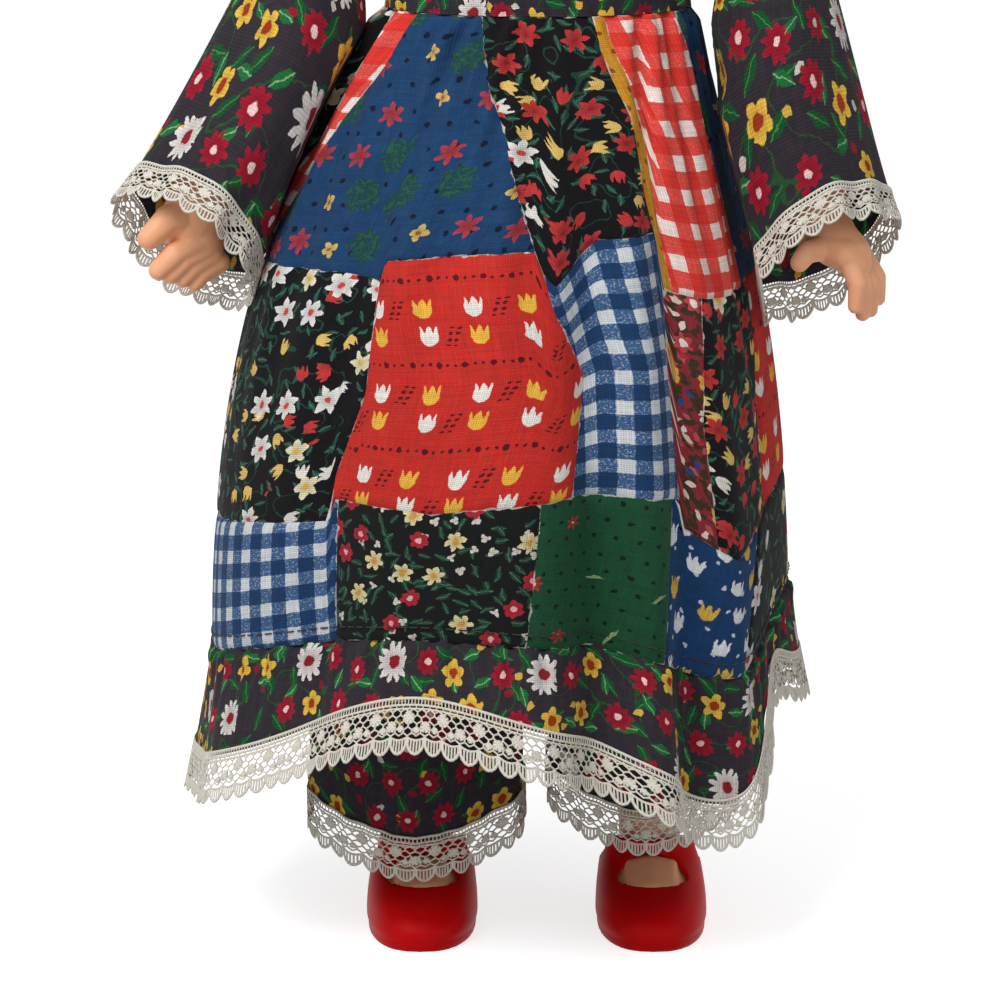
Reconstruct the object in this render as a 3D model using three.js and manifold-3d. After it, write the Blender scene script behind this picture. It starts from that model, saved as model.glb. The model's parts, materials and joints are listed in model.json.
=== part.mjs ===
// A dressed vinyl play doll, standing. Millimetres, +Z up. It looks along -Y, so its right hand is at -X.
import * as THREE from "three";
import { mergeVertices } from "three/addons/utils/BufferGeometryUtils.js";
import Module from "manifold-3d";

const wasm = await Module();
wasm.setup();

// Fits and thicknesses
const FIT = 0.4; // gap between vinyl pieces that touch or turn on each other
const EASE = 0.5; // gap between the clothes and what they are worn over
const SEAM = 0.3; // gap between two cloth pieces at the seam that joins them
const VINYL = 2.5; // wall of the hollow vinyl pieces
const CLOTH = 1.2; // one layer of cotton with its seam allowance
const LACE = 1; // cotton lace

// Body heights, each from the hip axis unless it says otherwise
const SOLE = 3; // shoe sole, under the foot
const LEG_LENGTH = 178.6; // sole of the foot to the hip axis
const CROTCH_DROP = 24;
const BELLY_RISE = 30;
const WAIST_RISE = 58;
const CHEST_RISE = 84;
const SHOULDER_RISE = 100;
const YOKE_RISE = 114;
const NECK_RISE = 122;
const CHIN_GAP = 7; // chin above the neck seat
const HEAD_HEIGHT = 92;

// Body half widths and half depths
const PELVIS_HALF_WIDTH = 40;
const PELVIS_HALF_DEPTH = 28;
const BELLY_HALF_WIDTH = 40;
const BELLY_HALF_DEPTH = 31;
const WAIST_HALF_WIDTH = 37;
const WAIST_HALF_DEPTH = 29;
const CHEST_HALF_WIDTH = 35.5;
const CHEST_HALF_DEPTH = 28;
const YOKE_HALF_WIDTH = 30;
const YOKE_HALF_DEPTH = 19;
const NECK_SEAT_R = 16;
const HEAD_HALF_WIDTH = 40;
const HEAD_HALF_DEPTH = 42;
const HAIR_THICK = 5;
const HAIR_HEM = 10; // lower edge of the hair above the chin
const FACE_HALF_WIDTH = 30;
const FACE_HALF_HEIGHT = 36;

// Push-in joints: each limb has a stem and a flange that snap through a round hole
const FLANGE = 2; // thickness of a flange
const FLANGE_LIP = 3; // flange radius beyond its stem
const NECK_R = 13;
const NECK_STEM_R = 5.5;
const HIP_FLAT_X = 13; // flat hip sockets, either side of the middle
const HIP_DOME_R = 25;
const HIP_DOME_THICK = 29;
const HIP_STEM_R = 7;
const ARM_DOME_R = 13;
const ARM_DOME_THICK = 14;
const ARM_STEM_R = 5;

// Legs and shoes
const LEG_X = 30; // middle of the ankle and of the shoe
const THIGH_HALF_WIDTH = 15.5;
const THIGH_HALF_DEPTH = 19;
const KNEE_HALF_WIDTH = 13.5;
const KNEE_HALF_DEPTH = 14.5;
const CALF_HALF_WIDTH = 13.5;
const CALF_HALF_DEPTH = 15;
const ANKLE_HALF_WIDTH = 7.8;
const ANKLE_HALF_DEPTH = 9.5;
const ANKLE_BACK = 3; // ankle behind the hip axis
const SHOE_WALL = 1.8;
const SHOE_TOE = 36.5; // toe in front of the hip axis
const SHOE_HEEL = 17.5; // heel behind it
const SHOE_HALF_WIDTH = 14.5;
const SHOE_HEIGHT = 22.5; // top of the strap
const SHOE_COLLAR = 15; // top of the heel quarter
const STRAP_FRONT = 10.5; // strap edges in front of the hip axis
const STRAP_BACK = 3;
const THROAT_HALF_WIDTH = 10;
const THROAT_FRONT = 22.5;

// Arms, sleeves and hands
const ELBOW_DROP = 42; // below the shoulder axis
const ELBOW_OUT = 24.5; // outside the shoulder socket
const ELBOW_FORWARD = 4;
const CUFF_DROP = 91; // middle of the cuff below the shoulder axis
const CUFF_FORWARD = 12;
const WRIST_OUT = 6; // wrist beyond the cuff
const UPPER_ARM_R = 10.5;
const ELBOW_R = 9.5;
const WRIST_R = 7.5;
const ARMHOLE_R = 17;
const SLEEVE_R = 13.2; // at the elbow
const CUFF_R = 17.5;
const CUFF_LACE = 11; // lace beyond the cuff
const CUFF_FLARE = 1; // lace radius beyond the cuff's
const SLEEVE_FOLD = 0.9;
const SLEEVE_FOLDS = 4;
const PALM_LENGTH = 17;
const PALM_HALF_WIDTH = 8.5;
const PALM_HALF_DEPTH = 6;
const FINGER_LENGTH = { right: 6, left: 11 }; // the right hand's fingers are curled in
const THUMB_LENGTH = 11;
const FINGER_R = 2.5;
const THUMB_R = 2.9;
const HANG_GAP = 1.5; // between the hanging sleeve and the skirt

// Dress
const NECKLINE_DROP = 3; // top of the bodice below the neck seat
const COLLAR_WIDTH = 7;
const COLLAR_RISE = 1.5;
const PLACKET_HALF_ANGLE = 10; // degrees about the middle of the back
const PLACKET_MARGIN = 4; // short of the bodice's top and bottom edges
const SNAP_GAP = 2.3; // between the bodice and the placket
const SNAP_R = 3;
const SNAP_DISC = 0.7;
const SNAP_POST_R = 1.1;
const SNAP_LOWER_RISE = 8; // above the waist
const SNAP_UPPER_RISE = 17;
const SEAM_HEIGHT = 84; // seam of the skirt and its ruffle, above the floor
const SKIRT_HALF_WIDTH = 74; // at that seam
const SKIRT_HALF_DEPTH = 74;
const SKIRT_SHIFT = -10; // the hem hangs towards the doll's right
const RUFFLE_DROP = 40; // ruffle with its lace
const RUFFLE_FLARE = 6;
const RUFFLE_FOLDS = 12;
const RUFFLE_FOLD = 1.8;
const LACE_DROP = 12;

// Waves round the skirt: [angle in degrees from the front towards the doll's left, half width, size in millimetres]
const FOLDS = [
  [-62, 16, 3],
  [-36, 9, -4],
  [2, 17, 3.5],
  [20, 7, -7],
  [30, 6, 3],
  [41, 6, -4],
  [53, 6, 2],
  [74, 10, -1.5],
  [102, 12, 3],
  [128, 9, -5],
  [150, 9, 4],
  [172, 9, -5],
  [194, 9, 4],
  [216, 9, -5],
  [240, 10, 3],
];
const SEAM_WAVES = [
  [-88, 32, -9],
  [-8, 36, 8],
  [52, 18, -9],
  [96, 22, 5],
];
const DROP_WAVES = [
  [-14, 30, -14],
  [46, 14, 5],
  [72, 12, -17],
  [98, 20, -10],
];
const FLARE_WAVES = [
  [-14, 30, 9],
  [52, 16, -4],
];

// Bloomers
const SEAT_RISE = 27; // top of the seat above the hip axis
const SEAT_DROP = 24; // its lower edge below it
const SEAT_HALF_DEPTH = 33;
const SEAT_HEM_HALF_DEPTH = 41;
const SEAT_EASE = 4; // seat beyond the thighs at its lower edge, so that they can swing
const ELASTIC = 1.2;
const ELASTIC_WIDTH = 5;
const BLOOMER_DROP = 34; // top of a bloomer leg below the hip axis
const BLOOMER_OUT = { right: 1.5, left: -2 }; // middle of a bloomer leg's hem outside the ankle
const BLOOMER_GAP = 4; // between the two legs
const BLOOMER_HALF_DEPTH = 24;
const BLOOMER_HEM = { right: 24, left: 31 }; // lower edge of the lace at the side
const BLOOMER_DIP = 8; // the hem is that much lower in front
const BLOOMER_LACE = 11;
const BLOOMER_FOLD = 1;
const BLOOMER_FOLDS = 6;

// Worked out from the sizes above
const HIP_Z = SOLE + FIT + LEG_LENGTH;
const WAIST_Z = HIP_Z + WAIST_RISE;
const SHOULDER_Z = HIP_Z + SHOULDER_RISE;
const NECK_Z = HIP_Z + NECK_RISE;
const CHIN_Z = NECK_Z + CHIN_GAP;
const CROWN_Z = CHIN_Z + HEAD_HEIGHT;
const NECKLINE_Z = NECK_Z - NECKLINE_DROP;
const ARMHOLE_X = CHEST_HALF_WIDTH + EASE + CLOTH;
const SHOULDER_X = ARMHOLE_X + SEAM - FIT;
const CUFF_Z = SHOULDER_Z - CUFF_DROP;
const SKIRT_TOP = WAIST_Z - SEAM;

// Numbers of facets
const TORSO_SIDES = 16;
const HEAD_SIDES = 20;
const SHOE_SIDES = 18;
const SKIRT_SIDES = 64;
const SLEEVE_SIDES = 16;
const BLOOMER_SIDES = 24;
const LIMB_SIDES = 12;
const JOINT_SIDES = 16;
const SNAP_SIDES = 8;
const FINGER_SIDES = 6;

const TURN = 2 * Math.PI;
const FAR = 150; // well outside the body, for cutting tools
const SIDES = [
  { name: "right", side: -1 },
  { name: "left", side: 1 },
];

const vinylSkin = new THREE.MeshStandardMaterial({ color: 0xd9a07c, roughness: 0.55, metalness: 0 });
const hairFibre = new THREE.MeshStandardMaterial({ color: 0x6b4526, roughness: 0.5, metalness: 0 });
const shoeVinyl = new THREE.MeshStandardMaterial({ color: 0x8c0d12, roughness: 0.4, metalness: 0 });
const plugPlastic = new THREE.MeshStandardMaterial({ color: 0xe6dccb, roughness: 0.6, metalness: 0 });
const darkCalico = new THREE.MeshStandardMaterial({ color: 0x2b272d, roughness: 0.9, metalness: 0 });
const patchwork = new THREE.MeshStandardMaterial({ color: 0x8c2a2a, roughness: 0.9, metalness: 0 });
const cottonLace = new THREE.MeshStandardMaterial({ color: 0xe4dccd, roughness: 0.9, metalness: 0 });
const elasticTape = new THREE.MeshStandardMaterial({ color: 0xf0ece4, roughness: 0.9, metalness: 0 });
const snapSteel = new THREE.MeshStandardMaterial({ color: 0xb9b9b5, roughness: 0.3, metalness: 1 });

const doll = new THREE.Group();

// Mesh helpers

function signedVolume(geometry) {
  const position = geometry.getAttribute("position");
  const [a, b, c] = [new THREE.Vector3(), new THREE.Vector3(), new THREE.Vector3()];
  let volume = 0;
  for (let i = 0; i < geometry.index.count; i += 3) {
    a.fromBufferAttribute(position, geometry.index.getX(i));
    b.fromBufferAttribute(position, geometry.index.getX(i + 1));
    c.fromBufferAttribute(position, geometry.index.getX(i + 2));
    volume += a.dot(b.cross(c)) / 6;
  }
  return volume;
}

// Turns the faces round if they point inwards.
function facingOut(geometry) {
  if (signedVolume(geometry) < 0) {
    const index = geometry.index.array;
    for (let i = 0; i < index.length; i += 3) {
      [index[i + 1], index[i + 2]] = [index[i + 2], index[i + 1]];
    }
  }
  return geometry;
}

function middleOf(ring) {
  const middle = new THREE.Vector3();
  ring.forEach((point) => middle.add(point));
  return middle.divideScalar(ring.length);
}

// A closed surface over rings of points. Wrapped, the last ring joins the first; otherwise both ends are capped.
function skin(rings, wrapped = false) {
  const sides = rings[0].length;
  const points = rings.flat();
  const faces = [];
  const bands = wrapped ? rings.length : rings.length - 1;
  for (let band = 0; band < bands; band++) {
    const here = band * sides;
    const next = ((band + 1) % rings.length) * sides;
    for (let i = 0; i < sides; i++) {
      const j = (i + 1) % sides;
      faces.push(here + i, here + j, next + j, here + i, next + j, next + i);
    }
  }
  if (!wrapped) {
    const last = (rings.length - 1) * sides;
    const bottom = points.push(middleOf(rings[0])) - 1;
    const top = points.push(middleOf(rings.at(-1))) - 1;
    for (let i = 0; i < sides; i++) {
      const j = (i + 1) % sides;
      faces.push(bottom, j, i, top, last + i, last + j);
    }
  }
  const geometry = new THREE.BufferGeometry().setFromPoints(points);
  geometry.setIndex(faces);
  return facingOut(geometry);
}

// A sheet with a thickness: its outer rings from one edge to the other, and its inner rings back again.
function sheet(outer, inner) {
  return skin([...outer, ...inner.toReversed()], true);
}

// A closed loop of points, from the front (-Y) through the doll's left (+X) and the back.
function loop(sides, pointAt) {
  return Array.from({ length: sides }, (_, i) => pointAt((TURN * i) / sides));
}

function oval(sides, x, y, z, halfWidth, halfDepth) {
  return loop(sides, (a) => new THREE.Vector3(x + halfWidth * Math.sin(a), y - halfDepth * Math.cos(a), z));
}

// Evenly spaced values from one end to the other.
function spaced(from, to, steps) {
  return Array.from({ length: steps + 1 }, (_, i) => from + ((to - from) * i) / steps);
}

// A closed geometry as a solid for joining and cutting.
function solid(geometry) {
  const bare = new THREE.BufferGeometry();
  bare.setAttribute("position", geometry.getAttribute("position"));
  bare.setIndex(geometry.index);
  const merged = mergeVertices(bare, 1e-4);
  const corners = [];
  for (let i = 0; i < merged.index.count; i += 3) {
    const [a, b, c] = [0, 1, 2].map((k) => merged.index.getX(i + k));
    if (a !== b && b !== c && c !== a) corners.push(a, b, c);
  }
  merged.setIndex(corners);
  facingOut(merged);
  const vertProperties = merged.getAttribute("position").array;
  const triVerts = new Uint32Array(merged.index.array);
  return new wasm.Manifold(new wasm.Mesh({ numProp: 3, vertProperties, triVerts }));
}

function geometryOf(made) {
  const { vertProperties, triVerts } = made.getMesh();
  const geometry = new THREE.BufferGeometry();
  geometry.setAttribute("position", new THREE.BufferAttribute(vertProperties, 3));
  geometry.setIndex(new THREE.BufferAttribute(triVerts, 1));
  return geometry;
}

function place(name, geometry, material) {
  geometry.computeVertexNormals();
  const mesh = new THREE.Mesh(geometry, material);
  mesh.name = name;
  doll.add(mesh);
}

// Turned pieces: a profile of [radius, height] pairs from one end of the axis to the other.
function turned(profile, sides = JOINT_SIDES) {
  return new THREE.LatheGeometry(profile.map(([radius, height]) => new THREE.Vector2(radius, height)), sides);
}

// A turned piece along X at the given height. The profile's heights run away from the middle of the body.
function turnedAlongX(profile, side, z) {
  return solid(turned(profile).rotateZ((-side * TURN) / 4).translate(0, 0, z));
}

function turnedAlongZ(profile) {
  return solid(turned(profile).rotateX(TURN / 4));
}

// A round rod along X, between two distances from the middle of the body.
function rodAlongX(radius, from, to, side, z) {
  return turnedAlongX([[0, from], [radius, from], [radius, to], [0, to]], side, z);
}

function rodAlongZ(radius, from, to) {
  return turnedAlongZ([[0, from], [radius, from], [radius, to], [0, to]]);
}

// A point on a form given by stations of (half width, half depth, height), at one height.
function formAt(form, z) {
  let [low, high] = [0, 1];
  for (let i = 0; i < 30; i++) {
    const middle = (low + high) / 2;
    if (form.getPoint(middle).z < z) low = middle;
    else high = middle;
  }
  return form.getPoint(low);
}

function formOf(stations) {
  return new THREE.CatmullRomCurve3(stations.map((station) => new THREE.Vector3(...station)));
}

// A value between listed ones, at a share of the way from the first to the last.
function between(values, share) {
  const place = Math.min(share, 0.9999) * (values.length - 1);
  const step = Math.floor(place);
  return values[step] + (values[step + 1] - values[step]) * (place - step);
}

// Torso and the plug that holds the head

const torsoForm = formOf([
  [0.5 * HIP_FLAT_X, 0.35 * PELVIS_HALF_DEPTH, HIP_Z - CROTCH_DROP],
  [0.75 * PELVIS_HALF_WIDTH, 0.8 * PELVIS_HALF_DEPTH, HIP_Z - 0.5 * CROTCH_DROP],
  [PELVIS_HALF_WIDTH, PELVIS_HALF_DEPTH, HIP_Z + 0.3 * BELLY_RISE],
  [BELLY_HALF_WIDTH, BELLY_HALF_DEPTH, HIP_Z + BELLY_RISE],
  [WAIST_HALF_WIDTH, WAIST_HALF_DEPTH, WAIST_Z],
  [CHEST_HALF_WIDTH, CHEST_HALF_DEPTH, HIP_Z + CHEST_RISE],
  [YOKE_HALF_WIDTH, YOKE_HALF_DEPTH, HIP_Z + YOKE_RISE],
  [NECK_SEAT_R, NECK_SEAT_R, NECK_Z],
]);

// A ring round the torso, outside its surface by an offset.
function torsoRing(z, offset) {
  const size = formAt(torsoForm, z);
  return oval(TORSO_SIDES, 0, 0, z, size.x + offset, size.y + offset);
}

function torsoRings(from, to, offset, steps) {
  return spaced(from, to, steps).map((z) => torsoRing(z, offset));
}

function makeTorso() {
  let body = solid(skin(torsoRings(HIP_Z - CROTCH_DROP, NECK_Z, 0, 11)));
  let hollow = solid(skin(torsoRings(HIP_Z - CROTCH_DROP + 2 * VINYL, NECK_Z - VINYL, -VINYL, 8)));
  // The flats of the faceted hip socket clear the corners of the dome that turns in it.
  const hipSocketR = (HIP_DOME_R + FIT) / Math.cos(TURN / 2 / JOINT_SIDES);
  for (const { side } of SIDES) {
    body = body.add(rodAlongX(ARM_DOME_R, 0, SHOULDER_X, side, SHOULDER_Z));
    hollow = hollow.add(rodAlongX(ARM_DOME_R - VINYL, 0, SHOULDER_X - VINYL, side, SHOULDER_Z));
    body = body.subtract(rodAlongX(hipSocketR, HIP_FLAT_X, FAR, side, HIP_Z));
    hollow = hollow.subtract(rodAlongX(hipSocketR + VINYL, HIP_FLAT_X - VINYL, FAR, side, HIP_Z));
  }
  for (const { side } of SIDES) {
    hollow = hollow.add(rodAlongX(HIP_STEM_R + FIT, 0, FAR, side, HIP_Z));
    hollow = hollow.add(rodAlongX(ARM_STEM_R + FIT, 0, FAR, side, SHOULDER_Z));
  }
  hollow = hollow.add(rodAlongZ(NECK_STEM_R + FIT, SHOULDER_Z, NECK_Z + FAR));
  place("torso", geometryOf(body.subtract(hollow)), vinylSkin);
}

function makeNeckPlug() {
  const flange = NECK_STEM_R + FLANGE_LIP;
  const low = NECK_Z - VINYL - FIT;
  const high = NECK_Z + FIT + VINYL + FIT;
  const profile = [
    [0, low - FLANGE],
    [flange, low - FLANGE],
    [flange, low],
    [NECK_STEM_R, low],
    [NECK_STEM_R, high],
    [flange, high],
    [flange, high + FLANGE],
    [0, high + FLANGE],
  ];
  place("neck_plug", geometryOf(turnedAlongZ(profile)), plugPlastic);
}

// Head and hair

const headForm = formOf([
  [0.3 * HEAD_HALF_WIDTH, 0.3 * HEAD_HALF_DEPTH, CHIN_Z],
  [0.74 * HEAD_HALF_WIDTH, 0.72 * HEAD_HALF_DEPTH, CHIN_Z + 0.1 * HEAD_HEIGHT],
  [0.97 * HEAD_HALF_WIDTH, 0.93 * HEAD_HALF_DEPTH, CHIN_Z + 0.28 * HEAD_HEIGHT],
  [HEAD_HALF_WIDTH, HEAD_HALF_DEPTH, CHIN_Z + 0.5 * HEAD_HEIGHT],
  [0.92 * HEAD_HALF_WIDTH, 0.94 * HEAD_HALF_DEPTH, CHIN_Z + 0.72 * HEAD_HEIGHT],
  [0.62 * HEAD_HALF_WIDTH, 0.64 * HEAD_HALF_DEPTH, CHIN_Z + 0.92 * HEAD_HEIGHT],
  [0.16 * HEAD_HALF_WIDTH, 0.16 * HEAD_HALF_DEPTH, CROWN_Z],
]);

// The chin and cheeks stand a little forward of the crown.
function headRing(z, offset, shapeZ = z) {
  const size = formAt(headForm, shapeZ);
  const low = 1 - (shapeZ - CHIN_Z) / HEAD_HEIGHT;
  return oval(HEAD_SIDES, 0, -0.2 * HEAD_HALF_DEPTH * low * low, z, size.x + offset, size.y + offset);
}

// The head, its hollow and the scalp under the hair share these heights, so their walls keep an even thickness.
const headLevels = spaced(CHIN_Z, CROWN_Z, 10);

function headRings(levels, offset) {
  return levels.map((z) => headRing(z, offset));
}

function makeHead() {
  const noseR = 0.11 * HEAD_HALF_WIDTH;
  const noseZ = CHIN_Z + 0.36 * HEAD_HEIGHT;
  const nose = new THREE.SphereGeometry(noseR, 8, 6).translate(0, -0.98 * HEAD_HALF_DEPTH, noseZ);
  const floor = NECK_Z + FIT + VINYL;
  const hollow = solid(skin(headRings(headLevels.slice(1, -1), -VINYL)));
  const head = solid(skin(headRings(headLevels, 0)))
    .add(rodAlongZ(NECK_R, NECK_Z + FIT, CHIN_Z + 0.15 * HEAD_HEIGHT))
    .add(solid(nose))
    .subtract(hollow)
    .subtract(rodAlongZ(NECK_R - VINYL, floor, CHIN_Z + 0.3 * HEAD_HEIGHT))
    .subtract(rodAlongZ(NECK_STEM_R + FIT, NECK_Z, floor + VINYL));
  place("head", geometryOf(head), vinylSkin);
}

function makeHair() {
  const hem = CHIN_Z + HAIR_HEM;
  const middle = CHIN_Z + 0.5 * HEAD_HEIGHT;
  const outer = spaced(hem, CROWN_Z, 8).map((z) => {
    const rise = Math.max(0, (z - middle) / (CROWN_Z - middle)) ** 2;
    return headRing(z + HAIR_THICK * rise, HAIR_THICK, z);
  });
  const scalp = headRings(headLevels, FIT);
  const scalpTop = headRing(CROWN_Z + FIT, FIT, CROWN_Z);
  const faceForm = new THREE.SphereGeometry(1, 20, 12).scale(FACE_HALF_WIDTH, HEAD_HALF_DEPTH, FACE_HALF_HEIGHT);
  const face = solid(faceForm.translate(0, -HEAD_HALF_DEPTH, CHIN_Z + FACE_HALF_HEIGHT - HAIR_THICK));
  const hair = solid(skin(outer))
    .subtract(solid(skin([...scalp, scalpTop])))
    .subtract(face);
  place("hair", geometryOf(hair), hairFibre);
}

// Skirt with its ruffle and lace

// The size of a wave at an angle, given in radians.
function wave(angle, [centre, halfWidth, size]) {
  const away = THREE.MathUtils.euclideanModulo(THREE.MathUtils.radToDeg(angle) - centre + 180, 360) - 180;
  return size * Math.exp(-((away / halfWidth) ** 2));
}

function waves(list, angle) {
  return list.reduce((sum, one) => sum + wave(angle, one), 0);
}

function seamHeight(angle) {
  return SEAM_HEIGHT + waves(SEAM_WAVES, angle);
}

// A point of the skirt: fall runs from 0 at the waist to 1 at the ruffle's seam, and inset goes into the cloth.
function skirtPoint(angle, fall, inset) {
  const waist = formAt(torsoForm, SKIRT_TOP);
  const bell = 1 - (1 - fall) ** 2.1;
  const shift = SKIRT_SHIFT * (1 - (1 - fall) ** 4);
  const stand = EASE + CLOTH - inset + fall * waves(FOLDS, angle);
  const halfWidth = THREE.MathUtils.lerp(waist.x, SKIRT_HALF_WIDTH - EASE - CLOTH, bell) + stand;
  const halfDepth = THREE.MathUtils.lerp(waist.y, SKIRT_HALF_DEPTH - EASE - CLOTH, bell) + stand;
  const z = THREE.MathUtils.lerp(SKIRT_TOP, seamHeight(angle), fall);
  return new THREE.Vector3(shift + halfWidth * Math.sin(angle), -halfDepth * Math.cos(angle), z);
}

function skirtRing(fall, inset) {
  return loop(SKIRT_SIDES, (angle) => skirtPoint(angle, fall, inset));
}

// A point of the ruffle and its lace, a height below the seam.
function rufflePoint(angle, below, inset) {
  const share = below / RUFFLE_DROP;
  const point = skirtPoint(angle, 1, inset);
  const flare = RUFFLE_FLARE + waves(FLARE_WAVES, angle) + RUFFLE_FOLD * Math.cos(RUFFLE_FOLDS * angle);
  point.x += share * flare * Math.sin(angle);
  point.y -= share * flare * Math.cos(angle);
  point.z -= below;
  return point;
}

// A ring between the seam and the hem, or between the lace's edges, by its share of the way down.
function ruffleRing(top, bottom, inset) {
  return loop(SKIRT_SIDES, (angle) => {
    const drop = RUFFLE_DROP + waves(DROP_WAVES, angle);
    return rufflePoint(angle, top + bottom * (drop - LACE_DROP), inset);
  });
}

function makeSkirt() {
  const falls = [0, 0.06, 0.16, 0.32, 0.54, 0.78, 1];
  const skirt = sheet(falls.map((f) => skirtRing(f, 0)), falls.map((f) => skirtRing(f, CLOTH)));
  place("skirt", skirt, patchwork);
  const shares = [0, 0.5, 1];
  const ruffle = sheet(
    shares.map((share) => ruffleRing(SEAM * (1 - share), share, 0)),
    shares.map((share) => ruffleRing(SEAM * (1 - share), share, CLOTH)),
  );
  place("skirt_ruffle", ruffle, darkCalico);
  const tops = [SEAM, LACE_DROP];
  const lace = sheet(tops.map((top) => ruffleRing(top, 1, 0)), tops.map((top) => ruffleRing(top, 1, LACE)));
  place("hem_lace", lace, cottonLace);
}

// Arms, sleeves and cuffs

// The middle line of an arm. It hangs just clear of the skirt, so the skirt decides how far out the cuff is.
function armLine(side) {
  const skirtEdge = Math.max(...skirtRing(cuffFall(), 0).map((point) => side * point.x));
  const cuff = new THREE.Vector3(side * (skirtEdge + HANG_GAP + CUFF_R + SLEEVE_FOLD), -CUFF_FORWARD, CUFF_Z);
  const elbowX = side * (SHOULDER_X + ELBOW_OUT);
  const elbow = new THREE.Vector3(elbowX, -ELBOW_FORWARD, SHOULDER_Z - ELBOW_DROP);
  const wrist = cuff.clone().addScaledVector(cuff.clone().sub(elbow).normalize(), WRIST_OUT);
  return new THREE.CatmullRomCurve3([
    new THREE.Vector3(side * (SHOULDER_X + FIT), 0, SHOULDER_Z),
    new THREE.Vector3(side * (SHOULDER_X + 0.53 * ELBOW_OUT), 0, SHOULDER_Z - 0.04 * ELBOW_DROP),
    new THREE.Vector3(side * (SHOULDER_X + 0.92 * ELBOW_OUT), -0.25 * ELBOW_FORWARD, SHOULDER_Z - 0.48 * ELBOW_DROP),
    elbow,
    cuff,
    wrist,
  ]);
}

const CUFF_SHARE = 4 / 5; // the cuff is the fifth of the arm line's six points

// The skirt's fall at the height of the cuff.
function cuffFall() {
  return (SKIRT_TOP - CUFF_Z) / (SKIRT_TOP - SEAM_HEIGHT);
}

// A ring square to the arm line. At the shoulder it is square to X, so that it turns in its armhole.
function armRing(line, share, radius, sides, fold = 0) {
  const middle = line.getPoint(share);
  const ahead = share === 0 ? new THREE.Vector3(Math.sign(middle.x), 0, 0) : line.getTangent(share);
  const inward = new THREE.Vector3(ahead.z, 0, -ahead.x).normalize();
  const across = new THREE.Vector3().crossVectors(ahead, inward);
  return loop(sides, (angle) => {
    const reach = radius + fold * Math.cos(SLEEVE_FOLDS * angle);
    const point = middle.clone().addScaledVector(across, reach * Math.cos(angle));
    return point.addScaledVector(inward, reach * Math.sin(angle));
  });
}

// A rod with round ends from one point to another.
function capsule(from, to, radius) {
  const along = to.clone().sub(from);
  const geometry = new THREE.CapsuleGeometry(radius, along.length(), 2, FINGER_SIDES);
  const turn = new THREE.Quaternion().setFromUnitVectors(new THREE.Vector3(0, 1, 0), along.normalize());
  geometry.applyQuaternion(turn);
  return solid(geometry.translate(...from.clone().add(to).multiplyScalar(0.5)));
}

// A slightly cupped hand: the thumb is on the body's side, and the fingers bend down from the knuckles.
function handSolid(line, name, side) {
  const wrist = line.getPoint(1);
  const ahead = line.getTangent(1);
  const outward = new THREE.Vector3(side, 0, 0);
  const forward = new THREE.Vector3(0, -1, 0);
  const down = new THREE.Vector3(0, 0, -1);
  const palmForm = new THREE.SphereGeometry(1, 10, 8).scale(PALM_HALF_WIDTH, PALM_HALF_DEPTH, 0.6 * PALM_LENGTH);
  const palmMiddle = wrist.clone().addScaledVector(ahead, 0.4 * PALM_LENGTH);
  let hand = solid(palmForm.translate(...palmMiddle));
  for (let finger = 0; finger < 4; finger++) {
    const knuckle = wrist
      .clone()
      .addScaledVector(ahead, 0.75 * PALM_LENGTH)
      .addScaledVector(outward, (finger - 1.2) * 1.55 * FINGER_R)
      .addScaledVector(forward, (1.5 - finger) * 0.6 * FINGER_R);
    const reach = FINGER_LENGTH[name] * (1 - 0.12 * Math.abs(finger - 1));
    const tip = knuckle.clone().addScaledVector(ahead, 0.3 * reach).addScaledVector(down, 0.75 * reach);
    hand = hand.add(capsule(knuckle, tip, FINGER_R));
  }
  const root = wrist.clone().addScaledVector(ahead, 0.3 * PALM_LENGTH).addScaledVector(outward, -0.5 * PALM_HALF_WIDTH);
  const thumbTip = root
    .clone()
    .addScaledVector(outward, -0.55 * THUMB_LENGTH)
    .addScaledVector(down, 0.6 * THUMB_LENGTH)
    .addScaledVector(forward, 0.3 * THUMB_LENGTH);
  return hand.add(capsule(root, thumbTip, THUMB_R));
}

// A stem that goes through the torso's wall at a socket, with its flange inside and its bore.
function pushInStem(stemR, socketX, side, z) {
  const flangeX = socketX - VINYL - FIT;
  const profile = [
    [0, flangeX - FLANGE],
    [stemR + FLANGE_LIP, flangeX - FLANGE],
    [stemR + FLANGE_LIP, flangeX],
    [stemR, flangeX],
    [stemR, socketX + FIT + FLANGE],
    [0, socketX + FIT + FLANGE],
  ];
  return turnedAlongX(profile, side, z);
}

function makeArm({ name, side }) {
  const line = armLine(side);
  const inner = SHOULDER_X + FIT;
  const dome = [
    [0, inner],
    [ARM_DOME_R - 1, inner],
    [ARM_DOME_R, inner + 1],
    [ARM_DOME_R, inner + 0.4 * ARM_DOME_THICK],
    [0.75 * ARM_DOME_R, inner + 0.8 * ARM_DOME_THICK],
    [0, inner + ARM_DOME_THICK],
  ];
  const radii = [UPPER_ARM_R, UPPER_ARM_R, UPPER_ARM_R, ELBOW_R, WRIST_R + 1, WRIST_R];
  const tube = skin(spaced(0.08, 1, 7).map((share) => armRing(line, share, between(radii, share), LIMB_SIDES)));
  const arm = turnedAlongX(dome, side, SHOULDER_Z)
    .add(solid(tube))
    .add(handSolid(line, name, side))
    .add(pushInStem(ARM_STEM_R, SHOULDER_X, side, SHOULDER_Z));
  place(`${name}_arm`, geometryOf(arm), vinylSkin);
}

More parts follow.
